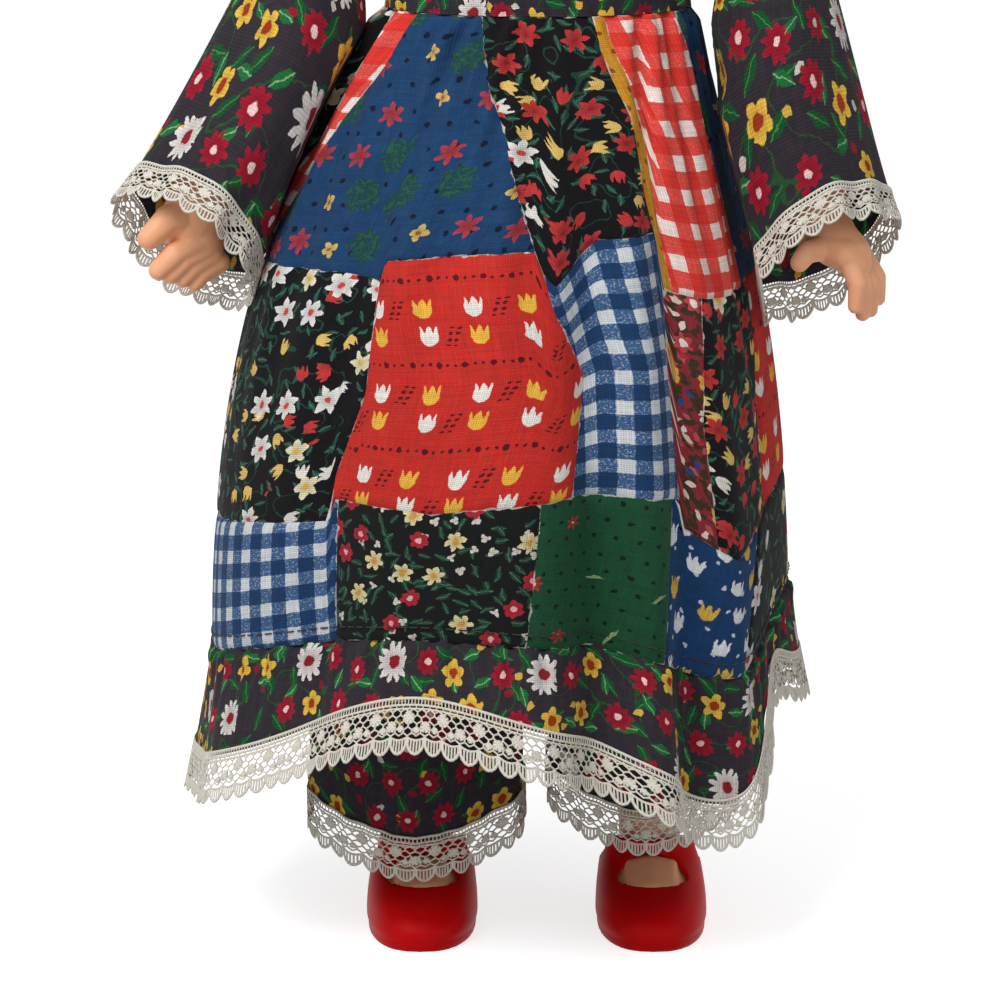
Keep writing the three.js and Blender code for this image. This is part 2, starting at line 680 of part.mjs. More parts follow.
function makeSleeve({ name, side }) {
  const line = armLine(side);
  const radii = [ARMHOLE_R, ARMHOLE_R, SLEEVE_R, SLEEVE_R, CUFF_R];
  const shares = [0, 0.06, 0.2, 0.34, 0.48, 0.62, 0.8, 1];
  const rings = (inset) =>
    shares.map((share) => {
      const radius = between(radii, share) - inset;
      return armRing(line, CUFF_SHARE * share, radius, SLEEVE_SIDES, SLEEVE_FOLD * share);
    });
  place(`${name}_sleeve`, sheet(rings(0), rings(CLOTH)), darkCalico);
  const ahead = line.getTangent(CUFF_SHARE);
  const laceRing = (beyond, radius) => {
    const ring = armRing(line, CUFF_SHARE, radius, SLEEVE_SIDES, SLEEVE_FOLD);
    return ring.map((point) => point.addScaledVector(ahead, beyond));
  };
  const lace = sheet(
    [laceRing(SEAM, CUFF_R), laceRing(CUFF_LACE, CUFF_R + CUFF_FLARE)],
    [laceRing(SEAM, CUFF_R - LACE), laceRing(CUFF_LACE, CUFF_R + CUFF_FLARE - LACE)],
  );
  place(`${name}_cuff_lace`, lace, cottonLace);
}

// Bodice with its collar, back placket and snaps

function makeBodice() {
  const shell = (offset, armholeR, reach) => {
    let made = solid(skin(torsoRings(WAIST_Z - 2 * CLOTH, NECK_Z, offset, 9)));
    for (const { side } of SIDES) made = made.add(rodAlongX(armholeR, 0, reach, side, SHOULDER_Z));
    return made;
  };
  const outer = shell(EASE + CLOTH, ARMHOLE_R, ARMHOLE_X);
  const inner = shell(EASE, ARMHOLE_R - CLOTH, FAR);
  const height = NECKLINE_Z - WAIST_Z;
  const slab = new THREE.BoxGeometry(FAR, FAR, height).translate(0, 0, WAIST_Z + height / 2);
  place("bodice", geometryOf(outer.subtract(inner).intersect(solid(slab))), darkCalico);
}

function makeCollar() {
  const ring = (z, offset) => torsoRing(NECKLINE_Z, offset).map((point) => point.setZ(z));
  const low = NECKLINE_Z + SEAM;
  const edge = EASE + COLLAR_WIDTH;
  const collar = sheet(
    [ring(low, EASE), ring(low + COLLAR_RISE, edge)],
    [ring(low + LACE, EASE), ring(low + LACE + COLLAR_RISE, edge)],
  );
  place("collar_lace", collar, cottonLace);
}

// The back's depth over the height of a snap.
function snapSpan(rise) {
  const z = WAIST_Z + rise;
  const depths = [z - SNAP_R, z, z + SNAP_R].map((height) => formAt(torsoForm, height).y);
  return { deepest: Math.max(...depths), slant: Math.max(...depths) - Math.min(...depths) };
}

// The placket is the flap that closes over the back opening, held off the bodice by the snaps.
function makePlacket() {
  const slant = Math.max(snapSpan(SNAP_UPPER_RISE).slant, snapSpan(SNAP_LOWER_RISE).slant);
  const stand = EASE + CLOTH + SNAP_GAP + slant;
  const half = THREE.MathUtils.degToRad(PLACKET_HALF_ANGLE);
  const angles = spaced(-half, half, 4);
  const rings = spaced(WAIST_Z + PLACKET_MARGIN, NECKLINE_Z - PLACKET_MARGIN, 6).map((z) => {
    const size = formAt(torsoForm, z);
    const point = (angle, out) =>
      new THREE.Vector3((size.x + out) * Math.sin(angle), (size.y + out) * Math.cos(angle), z);
    const near = angles.map((angle) => point(angle, stand));
    const away = angles.map((angle) => point(angle, stand + CLOTH));
    return [...near, ...away.reverse()];
  });
  place("back_placket", skin(rings), darkCalico);
}

// A two-piece snap: the stud is sewn to the bodice and the socket to the placket.
function makeSnap(name, rise) {
  const z = WAIST_Z + rise;
  const gap = (SNAP_GAP - 2 * SNAP_DISC) / 3;
  const face = snapSpan(rise).deepest + EASE + CLOTH + gap;
  const socket = face + SNAP_DISC + gap;
  const stud = [
    [0, 0],
    [SNAP_R, 0],
    [SNAP_R, SNAP_DISC],
    [SNAP_POST_R, SNAP_DISC],
    [SNAP_POST_R, SNAP_DISC + gap + 0.7 * SNAP_DISC],
    [0, SNAP_DISC + gap + 0.7 * SNAP_DISC],
  ];
  const ring = [
    [SNAP_POST_R + gap, 0],
    [SNAP_R, 0],
    [SNAP_R, SNAP_DISC],
    [SNAP_POST_R + gap, SNAP_DISC],
    [SNAP_POST_R + gap, 0],
  ];
  place(`${name}_snap_stud`, geometryOf(solid(turned(stud, SNAP_SIDES).translate(0, face, z))), snapSteel);
  place(`${name}_snap_socket`, geometryOf(solid(turned(ring, SNAP_SIDES).translate(0, socket, z))), snapSteel);
}

// Bloomers

function makeBloomerSeat() {
  const top = HIP_Z + SEAT_RISE;
  const hipX = Math.max(HIP_FLAT_X + FIT + HIP_DOME_THICK, thighX() + THIGH_HALF_WIDTH) + EASE;
  const ring = (z, halfWidth, halfDepth) => oval(BLOOMER_SIDES, 0, 0, z, halfWidth, halfDepth);
  const rings = (out) => {
    const waist = formAt(torsoForm, top);
    return [
      ring(top, waist.x + EASE + out, waist.y + EASE + out),
      ring(HIP_Z + 0.5 * SEAT_RISE, hipX + out, SEAT_HALF_DEPTH + out),
      ring(HIP_Z - 0.2 * SEAT_DROP, hipX + 0.4 * SEAT_EASE + out, SEAT_HALF_DEPTH + out),
      ring(HIP_Z - SEAT_DROP, hipX + SEAT_EASE + out, SEAT_HEM_HALF_DEPTH + out),
    ];
  };
  place("bloomer_seat", sheet(rings(CLOTH), rings(0)), darkCalico);
  const bands = [top + SEAM, top + SEAM + ELASTIC_WIDTH];
  const elastic = sheet(
    bands.map((z) => torsoRing(z, EASE + ELASTIC)),
    bands.map((z) => torsoRing(z, EASE)),
  );
  place("bloomer_elastic", elastic, elasticTape);
}

function makeBloomerLeg({ name, side }) {
  const top = HIP_Z - BLOOMER_DROP;
  const thigh = legSizeAt(top);
  const middle = LEG_X + BLOOMER_OUT[name];
  const halfWidth = middle - BLOOMER_GAP / 2;
  const hem = (angle) => BLOOMER_HEM[name] - BLOOMER_DIP * ((1 + Math.cos(angle)) / 2) ** 1.5;
  // Share runs from 0 at the thigh to 1 at the lace, which is a height below that.
  const ring = (share, below, inset) =>
    loop(BLOOMER_SIDES, (angle) => {
      const spread = Math.min(1, 1.25 * share) ** 0.8;
      const fold = share * BLOOMER_FOLD * Math.cos(BLOOMER_FOLDS * angle) - inset;
      const across = THREE.MathUtils.lerp(thigh.halfWidth + EASE + CLOTH, halfWidth - BLOOMER_FOLD, spread) + fold;
      const deep = THREE.MathUtils.lerp(thigh.halfDepth + EASE + CLOTH, BLOOMER_HALF_DEPTH, spread) + fold;
      const x = side * THREE.MathUtils.lerp(thigh.x, middle, spread);
      const y = THREE.MathUtils.lerp(thigh.y, 0, spread);
      const z = THREE.MathUtils.lerp(top, hem(angle) + BLOOMER_LACE, share) - below;
      return new THREE.Vector3(x + across * Math.sin(angle), y - deep * Math.cos(angle), z);
    });
  const shares = [0, 0.12, 0.35, 0.65, 1];
  const leg = sheet(shares.map((s) => ring(s, 0, 0)), shares.map((s) => ring(s, 0, CLOTH)));
  place(`${name}_bloomer_leg`, leg, darkCalico);
  const drops = [SEAM, BLOOMER_LACE];
  const lace = sheet(drops.map((drop) => ring(1, drop, 0)), drops.map((drop) => ring(1, drop, LACE)));
  place(`${name}_bloomer_lace`, lace, cottonLace);
}

// Legs and shoes

// The thigh's inner face is in line with the flat of the hip socket.
function thighX() {
  return HIP_FLAT_X + FIT + THIGH_HALF_WIDTH + 1;
}

// Stations down the leg: share of the way from hip to sole, middle, half width and half depth.
function legStations() {
  return [
    { share: 0.02, x: thighX(), y: 0, halfWidth: THIGH_HALF_WIDTH, halfDepth: THIGH_HALF_DEPTH },
    { share: 0.22, x: thighX(), y: 0, halfWidth: THIGH_HALF_WIDTH, halfDepth: THIGH_HALF_DEPTH },
    { share: 0.48, x: (thighX() + LEG_X) / 2, y: 0, halfWidth: KNEE_HALF_WIDTH, halfDepth: KNEE_HALF_DEPTH },
    { share: 0.64, x: LEG_X, y: ANKLE_BACK, halfWidth: CALF_HALF_WIDTH, halfDepth: CALF_HALF_DEPTH },
    { share: 0.82, x: LEG_X, y: ANKLE_BACK, halfWidth: ANKLE_HALF_WIDTH + 1, halfDepth: ANKLE_HALF_DEPTH + 1 },
    { share: 0.93, x: LEG_X, y: ANKLE_BACK, halfWidth: ANKLE_HALF_WIDTH, halfDepth: ANKLE_HALF_DEPTH },
  ].map((station) => ({ ...station, z: HIP_Z - station.share * LEG_LENGTH }));
}

function legSizeAt(z) {
  const stations = legStations();
  const next = stations.findIndex((station, i) => i > 0 && station.z <= z);
  const [a, b] = [stations[next - 1], stations[next]];
  const share = (z - a.z) / (b.z - a.z);
  const mixed = (key) => THREE.MathUtils.lerp(a[key], b[key], share);
  return { x: mixed("x"), y: mixed("y"), halfWidth: mixed("halfWidth"), halfDepth: mixed("halfDepth") };
}

function legTube(side, inset, to) {
  const heights = spaced(HIP_Z - 0.02 * LEG_LENGTH, to, 9);
  const rings = heights.map((z) => {
    const size = legSizeAt(z);
    return oval(LIMB_SIDES, side * size.x, size.y, z, size.halfWidth - inset, size.halfDepth - inset);
  });
  return solid(skin(rings));
}

// The shoe's toe and width at even steps from the sole to the strap, as shares of its largest.
const TOE_SHARES = [0.97, 1, 0.97, 0.86, 0.62, 0.4, 0.3, 0.28];
const WIDTH_SHARES = [0.95, 1, 1, 0.97, 0.9, 0.84, 0.8, 0.77];

// A slice of the shoe's outer form at a share of its height, drawn in by an inset. It is rounder at the toe.
function shoeSlice(share, inset, side, z) {
  const toe = SHOE_TOE * between(TOE_SHARES, share) - inset;
  const heel = SHOE_HEEL * (1 - 0.08 * share) - inset;
  const halfWidth = SHOE_HALF_WIDTH * between(WIDTH_SHARES, share) - inset;
  return loop(SHOE_SIDES, (angle) => {
    const lengthways = Math.cos(angle);
    const sideways = Math.sign(Math.sin(angle)) * Math.abs(Math.sin(angle)) ** 0.8;
    const y = (heel - toe) / 2 - (lengthways * (heel + toe)) / 2;
    return new THREE.Vector3(side * LEG_X + halfWidth * sideways * (1 + 0.05 * lengthways), y, z);
  });
}

// The shoe's form from one height to another. Above the strap it goes straight up.
function shoeForm(from, to, inset, side) {
  const steps = spaced(0, SHOE_HEIGHT, TOE_SHARES.length - 1).filter((z) => z > from && z < to);
  const rings = [from, ...steps, to].map((z) => shoeSlice(Math.min(z / SHOE_HEIGHT, 1), inset, side, z));
  return solid(skin(rings));
}

function makeLeg({ name, side }) {
  const inner = HIP_FLAT_X + FIT;
  const dome = [
    [0, inner],
    [HIP_DOME_R - 2, inner],
    [HIP_DOME_R, inner + 2],
    [HIP_DOME_R, inner + 0.35 * HIP_DOME_THICK],
    [0.84 * HIP_DOME_R, inner + 0.7 * HIP_DOME_THICK],
    [0.5 * HIP_DOME_R, inner + 0.93 * HIP_DOME_THICK],
    [0, inner + HIP_DOME_THICK],
  ];
  const ankle = HIP_Z - 0.93 * LEG_LENGTH + FIT;
  const calf = HIP_Z - 0.8 * LEG_LENGTH;
  const footTop = Math.max(ankle, SHOE_COLLAR);
  const leg = turnedAlongX(dome, side, HIP_Z)
    .add(legTube(side, 0, ankle))
    .add(shoeForm(SOLE + FIT, footTop, SHOE_WALL + FIT, side))
    .add(pushInStem(HIP_STEM_R, HIP_FLAT_X, side, HIP_Z))
    .subtract(legTube(side, VINYL, calf))
    .subtract(rodAlongX(HIP_STEM_R - VINYL, 0, thighX(), side, HIP_Z));
  place(`${name}_leg`, geometryOf(leg), vinylSkin);
}

function makeShoe({ name, side }) {
  const strapMiddle = (STRAP_FRONT + THROAT_FRONT) / 2;
  const throat = new THREE.CylinderGeometry(1, 1, SHOE_HEIGHT, 20)
    .rotateX(TURN / 4)
    .scale(THROAT_HALF_WIDTH, (THROAT_FRONT - STRAP_FRONT) / 2, 1)
    .translate(side * LEG_X, -strapMiddle, SOLE + 3 + SHOE_HEIGHT / 2);
  const behind = new THREE.BoxGeometry(FAR, FAR, SHOE_HEIGHT)
    .translate(0, FAR / 2 - STRAP_BACK, SHOE_COLLAR + SHOE_HEIGHT / 2);
  const shoe = shoeForm(0, SHOE_HEIGHT, 0, side)
    .subtract(shoeForm(SOLE, SHOE_HEIGHT + VINYL, SHOE_WALL, side))
    .subtract(solid(throat))
    .subtract(solid(behind));
  place(`${name}_shoe`, geometryOf(shoe), shoeVinyl);
}

// The whole doll

makeTorso();
makeNeckPlug();
makeHead();
makeHair();
makeBodice();
makeCollar();
makePlacket();
makeSnap("upper", SNAP_UPPER_RISE);
makeSnap("lower", SNAP_LOWER_RISE);
makeSkirt();
makeBloomerSeat();
for (const one of SIDES) {
  makeArm(one);
  makeSleeve(one);
  makeLeg(one);
  makeShoe(one);
  makeBloomerLeg(one);
}

// The origin is on the floor under the middle of the doll's box.
const middle = new THREE.Box3().setFromObject(doll).getCenter(new THREE.Vector3());
doll.children.forEach((mesh) => mesh.position.set(-middle.x, -middle.y, 0));

export default doll;
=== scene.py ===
# %% [markdown]
# # A prairie doll in a patchwork dress
# The CAD model gives every solid its place and its joints. This lesson dresses it: each piece of cloth, lace
# and vinyl is built again with the detail that the eye expects, in the same frame, and rides the same bodies.
# The size of the CAD model is kept.

# %% Load the frame
import json
import math
import bpy
import bmesh
import numpy as np
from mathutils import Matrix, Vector


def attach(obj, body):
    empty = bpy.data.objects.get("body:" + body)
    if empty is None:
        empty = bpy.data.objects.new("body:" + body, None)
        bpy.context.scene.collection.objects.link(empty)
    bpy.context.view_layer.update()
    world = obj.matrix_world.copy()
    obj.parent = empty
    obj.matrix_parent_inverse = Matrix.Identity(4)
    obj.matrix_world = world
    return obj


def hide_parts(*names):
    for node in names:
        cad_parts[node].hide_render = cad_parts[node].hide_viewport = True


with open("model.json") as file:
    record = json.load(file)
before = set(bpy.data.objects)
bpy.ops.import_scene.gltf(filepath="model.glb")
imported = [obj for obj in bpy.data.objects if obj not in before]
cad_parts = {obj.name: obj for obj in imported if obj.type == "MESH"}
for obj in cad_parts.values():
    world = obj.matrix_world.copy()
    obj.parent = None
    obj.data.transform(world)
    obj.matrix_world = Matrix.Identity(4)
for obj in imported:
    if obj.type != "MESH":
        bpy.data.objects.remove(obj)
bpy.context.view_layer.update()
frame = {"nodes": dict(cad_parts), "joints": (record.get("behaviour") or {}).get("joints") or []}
scene = bpy.context.scene
neck_joint = next(joint for joint in frame["joints"] if joint["name"] == "head_turn")
BODY_AXIS = np.array([neck_joint["pos_m"][0], neck_joint["pos_m"][1], 0.0]) * 1000
print("nodes", len(frame["nodes"]), "doll axis at (mm)", BODY_AXIS.round(2))

# %% [markdown]
# ## One measure for the whole lesson
# A doll is sewn and moulded in millimetres about its own upright axis, so all pieces are drawn in those
# numbers. One helper carries them into metres in the shared frame, and a second turns a table of points into
# a piece that rides a body. Cloth also remembers where each point lay on the flat fabric, in millimetres,
# because a print has to keep its scale however the cloth is gathered.

# %% Helpers for pieces
NO_SEAM = 9.0


def place(points):
    """Millimetres about the doll's axis to metres in the shared frame."""
    return (np.asarray(points, float) + BODY_AXIS) * 0.001


def piece_from(name, points, faces, body, materials, cloth=None, fabric=None):
    """A piece that rides a body, from points in mm; cloth says where each point lay on the flat fabric."""
    mesh = bpy.data.meshes.new(name)
    mesh.from_pydata(place(np.reshape(points, (-1, 3))).tolist(), [], np.asarray(faces).tolist())
    for material in materials:
        mesh.materials.append(material)
    if cloth is not None:
        mesh.attributes.new("cloth", "FLOAT_VECTOR", "POINT")
        mesh.attributes["cloth"].data.foreach_set("vector", np.asarray(cloth, np.float32).ravel())
    if fabric is not None:
        mesh.polygons.foreach_set("material_index", np.asarray(fabric, np.int32))
    mesh.shade_smooth()
    piece = bpy.data.objects.new(name, mesh)
    scene.collection.objects.link(piece)
    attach(piece, body)
    print(f"{name}: {len(mesh.vertices)} points on {body}")
    return piece


def grid_faces(rows, columns, first=0):
    """Quads over a grid of points that is read row by row."""
    index = np.arange(rows * columns).reshape(rows, columns) + first
    corners = [index[:-1, :-1], index[1:, :-1], index[1:, 1:], index[:-1, 1:]]
    return np.stack(corners, -1).reshape(-1, 4)


def flat_cloth(across, along):
    """Where points lay on the flat fabric, in mm, well away from any seam between patches."""
    return np.stack([across, along, np.full_like(across, NO_SEAM)], -1)


# %% [markdown]
# ## The camera
# The doll is seen from the front and a little above, from far enough away that the skirt hardly tapers. The
# picture is 260 mm wide where the doll stands, which gives the lens.

# %% Camera
CAMERA_RISE = math.radians(12)
CAMERA_AWAY = 1100
PICTURE_WIDTH = 260
PICTURE_MIDDLE = np.array([-9.6, 0, 111.5])
camera_data = bpy.data.cameras.new("camera")
camera_data.sensor_width = 36
camera_data.lens = 36 * CAMERA_AWAY / PICTURE_WIDTH
camera_data.clip_end = 50
camera = bpy.data.objects.new("camera", camera_data)
scene.collection.objects.link(camera)
back_off = np.array([0, -math.cos(CAMERA_RISE), math.sin(CAMERA_RISE)]) * CAMERA_AWAY
camera.location = place(PICTURE_MIDDLE + back_off)
camera.rotation_euler = (math.pi / 2 - CAMERA_RISE, 0, 0)
scene.camera = camera
print("lens", round(camera_data.lens, 1), "mm")

# %% [markdown]
# ## Floor and light
# A plain white sweep with soft light from the front left, as in a catalogue picture. The floor adds a little
# light of its own for the camera alone, so it reads as white paper and still takes the doll's shadow.

# %% Floor
def dye(code):
    """A colour as written on a screen, in the linear numbers that shaders use."""
    parts = [int(code[i : i + 2], 16) / 255 for i in (0, 2, 4)]
    return tuple(c / 12.92 if c <= 0.04045 else ((c + 0.055) / 1.055) ** 2.4 for c in parts) + (1.0,)


FLOOR_HALF, PAPER_GREY, PAPER_GLOW = 9.0, 0.72, 0.74
CORNERS = [(-1, -1), (1, -1), (1, 1), (-1, 1)]
floor_mesh = bpy.data.meshes.new("floor")
floor_mesh.from_pydata([(FLOOR_HALF * x, FLOOR_HALF * y, 0) for x, y in CORNERS], [], [(0, 1, 2, 3)])
floor = bpy.data.objects.new("floor", floor_mesh)
scene.collection.objects.link(floor)
paper = bpy.data.materials.new("white_paper")
paper.use_nodes = True
paper_shader = paper.node_tree.nodes["Principled BSDF"]
paper_shader.inputs["Base Color"].default_value = (PAPER_GREY, PAPER_GREY, PAPER_GREY, 1)
paper_shader.inputs["Roughness"].default_value = 0.95
paper_shader.inputs["Specular IOR Level"].default_value = 0.1
paper_shader.inputs["Emission Color"].default_value = (1, 1, 1, 1)


def seen_directly(tree):
    """1 for rays from the camera, off a mirror or through a clear thing, else 0."""
    path = tree.nodes.new("ShaderNodeLightPath")
    seen = path.outputs["Is Camera Ray"]
    for ray in ("Is Glossy Ray", "Is Transmission Ray"):
        either = tree.nodes.new("ShaderNodeMath")
        either.operation = "MAXIMUM"
        tree.links.new(seen, either.inputs[0])
        tree.links.new(path.outputs[ray], either.inputs[1])
        seen = either.outputs[0]
    return seen


glow = paper.node_tree.nodes.new("ShaderNodeMath")
glow.operation = "MULTIPLY"
glow.inputs[1].default_value = PAPER_GLOW
paper.node_tree.links.new(seen_directly(paper.node_tree), glow.inputs[0])
paper.node_tree.links.new(glow.outputs[0], paper_shader.inputs["Emission Strength"])
floor_mesh.materials.append(paper)
print("floor", 2 * FLOOR_HALF, "m wide")

# %% World and lamps
SKY_FILL, LAMP_AIM = 0.37, (0, 0, 150)
world = bpy.data.worlds.new("studio")
world.use_nodes = True
sky = world.node_tree.nodes["Background"]
sky.inputs["Color"].default_value = (1, 1, 1, 1)
sky_light = world.node_tree.nodes.new("ShaderNodeMath")
sky_light.operation = "MULTIPLY_ADD"
sky_light.inputs[1].default_value = 1 - SKY_FILL
sky_light.inputs[2].default_value = SKY_FILL
world.node_tree.links.new(seen_directly(world.node_tree), sky_light.inputs[0])
world.node_tree.links.new(sky_light.outputs[0], sky.inputs["Strength"])
scene.world = world
scene.view_settings.view_transform = "Standard"


def soft_lamp(name, towards, distance, size, power):
    """A square lamp that looks at the skirt from a direction; distance and size are in metres."""
    data = bpy.data.lights.new(name, "AREA")
    data.size = size
    data.energy = power
    lamp = bpy.data.objects.new(name, data)
    lamp.location = Vector(place(LAMP_AIM)) + Vector(towards).normalized() * distance
    lamp.rotation_euler = (-Vector(towards)).to_track_quat("-Z", "Y").to_euler()
    scene.collection.objects.link(lamp)
    print(name, "at", [round(v, 2) for v in lamp.location])


soft_lamp("window_left", (-0.5, -0.8, 1.05), 1.0, 0.45, 7.1)
soft_lamp("card_right", (1, -0.8, 0.5), 1.8, 1.2, 1.9)

# %% [markdown]
# ## A workbench for wiring
# A shader is a drawing made of small nodes. Wiring them by hand takes many lines, so a workbench keeps the
# words short: each call adds one node and hands back what comes out of it. Two more helpers start an empty
# node group and a new finish.

# %% Workbench
class Bench:
    def __init__(self, tree):
        self.tree = tree

    def add(self, kind, **settings):
        node = self.tree.nodes.new(kind)
        for key, value in settings.items():
            setattr(node, key, value)
        return node

    def feed(self, socket, value):
        if isinstance(value, bpy.types.NodeSocket):
            self.tree.links.new(value, socket)
        else:
            socket.default_value = value

    def fill(self, sockets, values):
        for socket, value in zip(sockets, values):
            self.feed(socket, value)

    def math(self, operation, *values):
        node = self.add("ShaderNodeMath", operation=operation)
        self.fill(node.inputs, values)
        return node.outputs[0]

    def times(self, one, other):
        return self.math("MULTIPLY", one, other)

    def vector(self, operation, *values):
        node = self.add("ShaderNodeVectorMath", operation=operation)
        self.fill(node.inputs, values)
        return node.outputs["Value"] if operation == "LENGTH" else node.outputs[0]

    def scaled(self, vector, factor):
        node = self.add("ShaderNodeVectorMath", operation="SCALE")
        self.feed(node.inputs[0], vector)
        self.feed(node.inputs["Scale"], factor)
        return node.outputs[0]

    def split(self, vector):
        node = self.add("ShaderNodeSeparateXYZ")
        self.feed(node.inputs[0], vector)
        return node.outputs[0], node.outputs[1], node.outputs[2]

    def join(self, x=0.0, y=0.0, z=0.0):
        node = self.add("ShaderNodeCombineXYZ")
        self.fill(node.inputs, (x, y, z))
        return node.outputs[0]

    def paint(self, share, under, over):
        node = self.add("ShaderNodeMix", data_type="RGBA")
        self.fill((node.inputs[0], node.inputs[6], node.inputs[7]), (share, under, over))
        return node.outputs[2]

    def below(self, value, edge, soft):
        """1 where the value is under an edge, fading to 0 over a soft width."""
        node = self.add("ShaderNodeMapRange", interpolation_type="SMOOTHSTEP")
        start, end = self.math("SUBTRACT", edge, soft), self.math("ADD", edge, soft)
        self.fill(node.inputs, (value, start, end, 1.0, 0.0))
        return node.outputs[0]

    def among(self, value, low, high):
        """1 where the value lies from low up to high."""
        over = self.math("GREATER_THAN", value, low)
        return self.times(over, self.math("LESS_THAN", value, high))

    def noise(self, vector, scale, detail=2.0):
        node = self.add("ShaderNodeTexNoise")
        self.feed(node.inputs["Vector"], vector)
        self.feed(node.inputs["Scale"], scale)
        node.inputs["Detail"].default_value = detail
        return node.outputs["Fac"]

    def group(self, tree, **values):
        node = self.add("ShaderNodeGroup", node_tree=tree)
        for key, value in values.items():
            self.feed(node.inputs[key], value)
        return node.outputs

    def bump(self, shader, height, strength, distance):
        """Fine relief on a finish, as deep as a distance in mm."""
        node = self.add("ShaderNodeBump")
        node.inputs["Strength"].default_value = strength
        node.inputs["Distance"].default_value = distance * 0.001
        self.feed(node.inputs["Height"], height)
        self.feed(shader.inputs["Normal"], node.outputs[0])


def new_group(name, inputs, outputs):
    """An empty node group: inputs are (name, default) and outputs are names; a Place is a vector."""
    tree = bpy.data.node_groups.new(name, "ShaderNodeTree")
    for label, default in inputs:
        kind = "NodeSocketVector" if default is None else "NodeSocketFloat"
        socket = tree.interface.new_socket(label, in_out="INPUT", socket_type=kind)
        if default is not None:
            socket.default_value = default
    for label in outputs:
        kind = "NodeSocketVector" if label == "Place" else "NodeSocketFloat"
        tree.interface.new_socket(label, in_out="OUTPUT", socket_type=kind)
    bench = Bench(tree)
    return tree, bench, bench.add("NodeGroupInput").outputs, bench.add("NodeGroupOutput").inputs


def new_finish(name):
    """A new material, its workbench and its shader."""
    material = bpy.data.materials.new(name)
    material.use_nodes = True
    return material, Bench(material.node_tree), material.node_tree.nodes["Principled BSDF"]


# %% [markdown]
# ## Weave
# All the dress fabrics are plain-woven cotton: threads pass over and under each other about twice in each
# millimetre. The group gives the little bumps of the weave, a shade that differs from thread to thread, and
# the slow patches where a much washed cloth has faded.

# %% Weave group
plain_weave, bench, given, made = new_group(
    "plain_weave", [("Cloth", None), ("Pitch", 0.55)], ["Height", "Shade", "Fade"]
)
across, along, _ = bench.split(given["Cloth"])
warp = bench.math("DIVIDE", across, given["Pitch"])
weft = bench.math("DIVIDE", along, given["Pitch"])
hump_warp = bench.math("ABSOLUTE", bench.math("SINE", bench.times(warp, math.pi)))
hump_weft = bench.math("ABSOLUTE", bench.math("SINE", bench.times(weft, math.pi)))
bench.feed(made["Height"], bench.times(hump_warp, hump_weft))
slub_warp = bench.noise(bench.join(bench.math("FLOOR", warp), bench.times(weft, 0.06)), 0.83, 1)
slub_weft = bench.noise(bench.join(bench.times(warp, 0.06), bench.math("FLOOR", weft)), 0.71, 1)
bench.feed(made["Shade"], bench.times(bench.math("ADD", slub_warp, slub_weft), 0.5))
bench.feed(made["Fade"], bench.noise(given["Cloth"], 0.035, 3))
print("weave group:", len(plain_weave.nodes), "nodes")

# %% [markdown]
# ## Motifs for printed cotton
# Calico prints are made of a few motifs that repeat: flowers with round or pointed petals, oval leaves,
# tulips, pin dots and thin vines. One group scatters places over the cloth, each with its own turn and a
# number that picks the motif, and one group draws each kind of shape round such a place.

# %% Scatter group
scatter, bench, given, made = new_group(
    "scattered_places",
    [("Cloth", None), ("Pitch", 10.0), ("Stray", 1.0), ("Turn", 1.0), ("Seed", 0.0)],
    ["Place", "Kind"],
)
across, along, _ = bench.split(given["Cloth"])
line = bench.math("DIVIDE", along, given["Pitch"])
row = bench.math("FLOOR", line)
half_step = bench.times(bench.math("FLOORED_MODULO", row, 2.0), 0.5)
step = bench.math("ADD", bench.math("DIVIDE", across, given["Pitch"]), half_step)
column = bench.math("FLOOR", step)
chance = bench.add("ShaderNodeTexWhiteNoise", noise_dimensions="3D")
bench.feed(chance.inputs["Vector"], bench.join(column, row, given["Seed"]))
inside = bench.join(bench.math("FRACT", step), bench.math("FRACT", line))
centred = bench.scaled(bench.vector("SUBTRACT", inside, (0.5, 0.5, 0)), given["Pitch"])
drift = bench.scaled(bench.vector("SUBTRACT", chance.outputs["Color"], (0.5, 0.5, 0.5)), given["Stray"])
turn = bench.add("ShaderNodeVectorRotate", rotation_type="Z_AXIS")
bench.feed(turn.inputs["Vector"], bench.vector("MULTIPLY", bench.vector("SUBTRACT", centred, drift), (1, 1, 0)))
_, _, spin = bench.split(chance.outputs["Color"])
bench.feed(turn.inputs["Angle"], bench.times(bench.times(spin, 2 * math.pi), given["Turn"]))
bench.feed(made["Place"], turn.outputs[0])
bench.feed(made["Kind"], chance.outputs["Value"])
print("scatter group:", len(scatter.nodes), "nodes")

# %% Petal group
petals, bench, given, made = new_group(
    "petals",
    [("Place", None), ("Radius", 4.0), ("Count", 5.0), ("Depth", 0.4), ("Point", 0.0)],
    ["Mask", "Reach"],
)
x, y, _ = bench.split(given["Place"])
bearing = bench.times(bench.math("ARCTAN2", y, x), given["Count"])
round_lobe = bench.math("ABSOLUTE", bench.math("COSINE", bench.times(bearing, 0.5)))
sharp_lobe = bench.math("SUBTRACT", 1.0, bench.math("PINGPONG", bench.math("DIVIDE", bearing, math.pi), 1.0))
lobe = bench.add("ShaderNodeMix", data_type="FLOAT")
bench.feed(lobe.inputs[0], given["Point"])
bench.feed(lobe.inputs[2], round_lobe)
bench.feed(lobe.inputs[3], sharp_lobe)
cut = bench.times(given["Depth"], bench.math("SUBTRACT", 1.0, lobe.outputs[0]))
edge = bench.times(given["Radius"], bench.math("SUBTRACT", 1.0, cut))
away = bench.vector("LENGTH", given["Place"])
bench.feed(made["Mask"], bench.below(away, edge, 0.14))
bench.feed(made["Reach"], bench.math("DIVIDE", away, given["Radius"]))
print("petal group:", len(petals.nodes), "nodes")

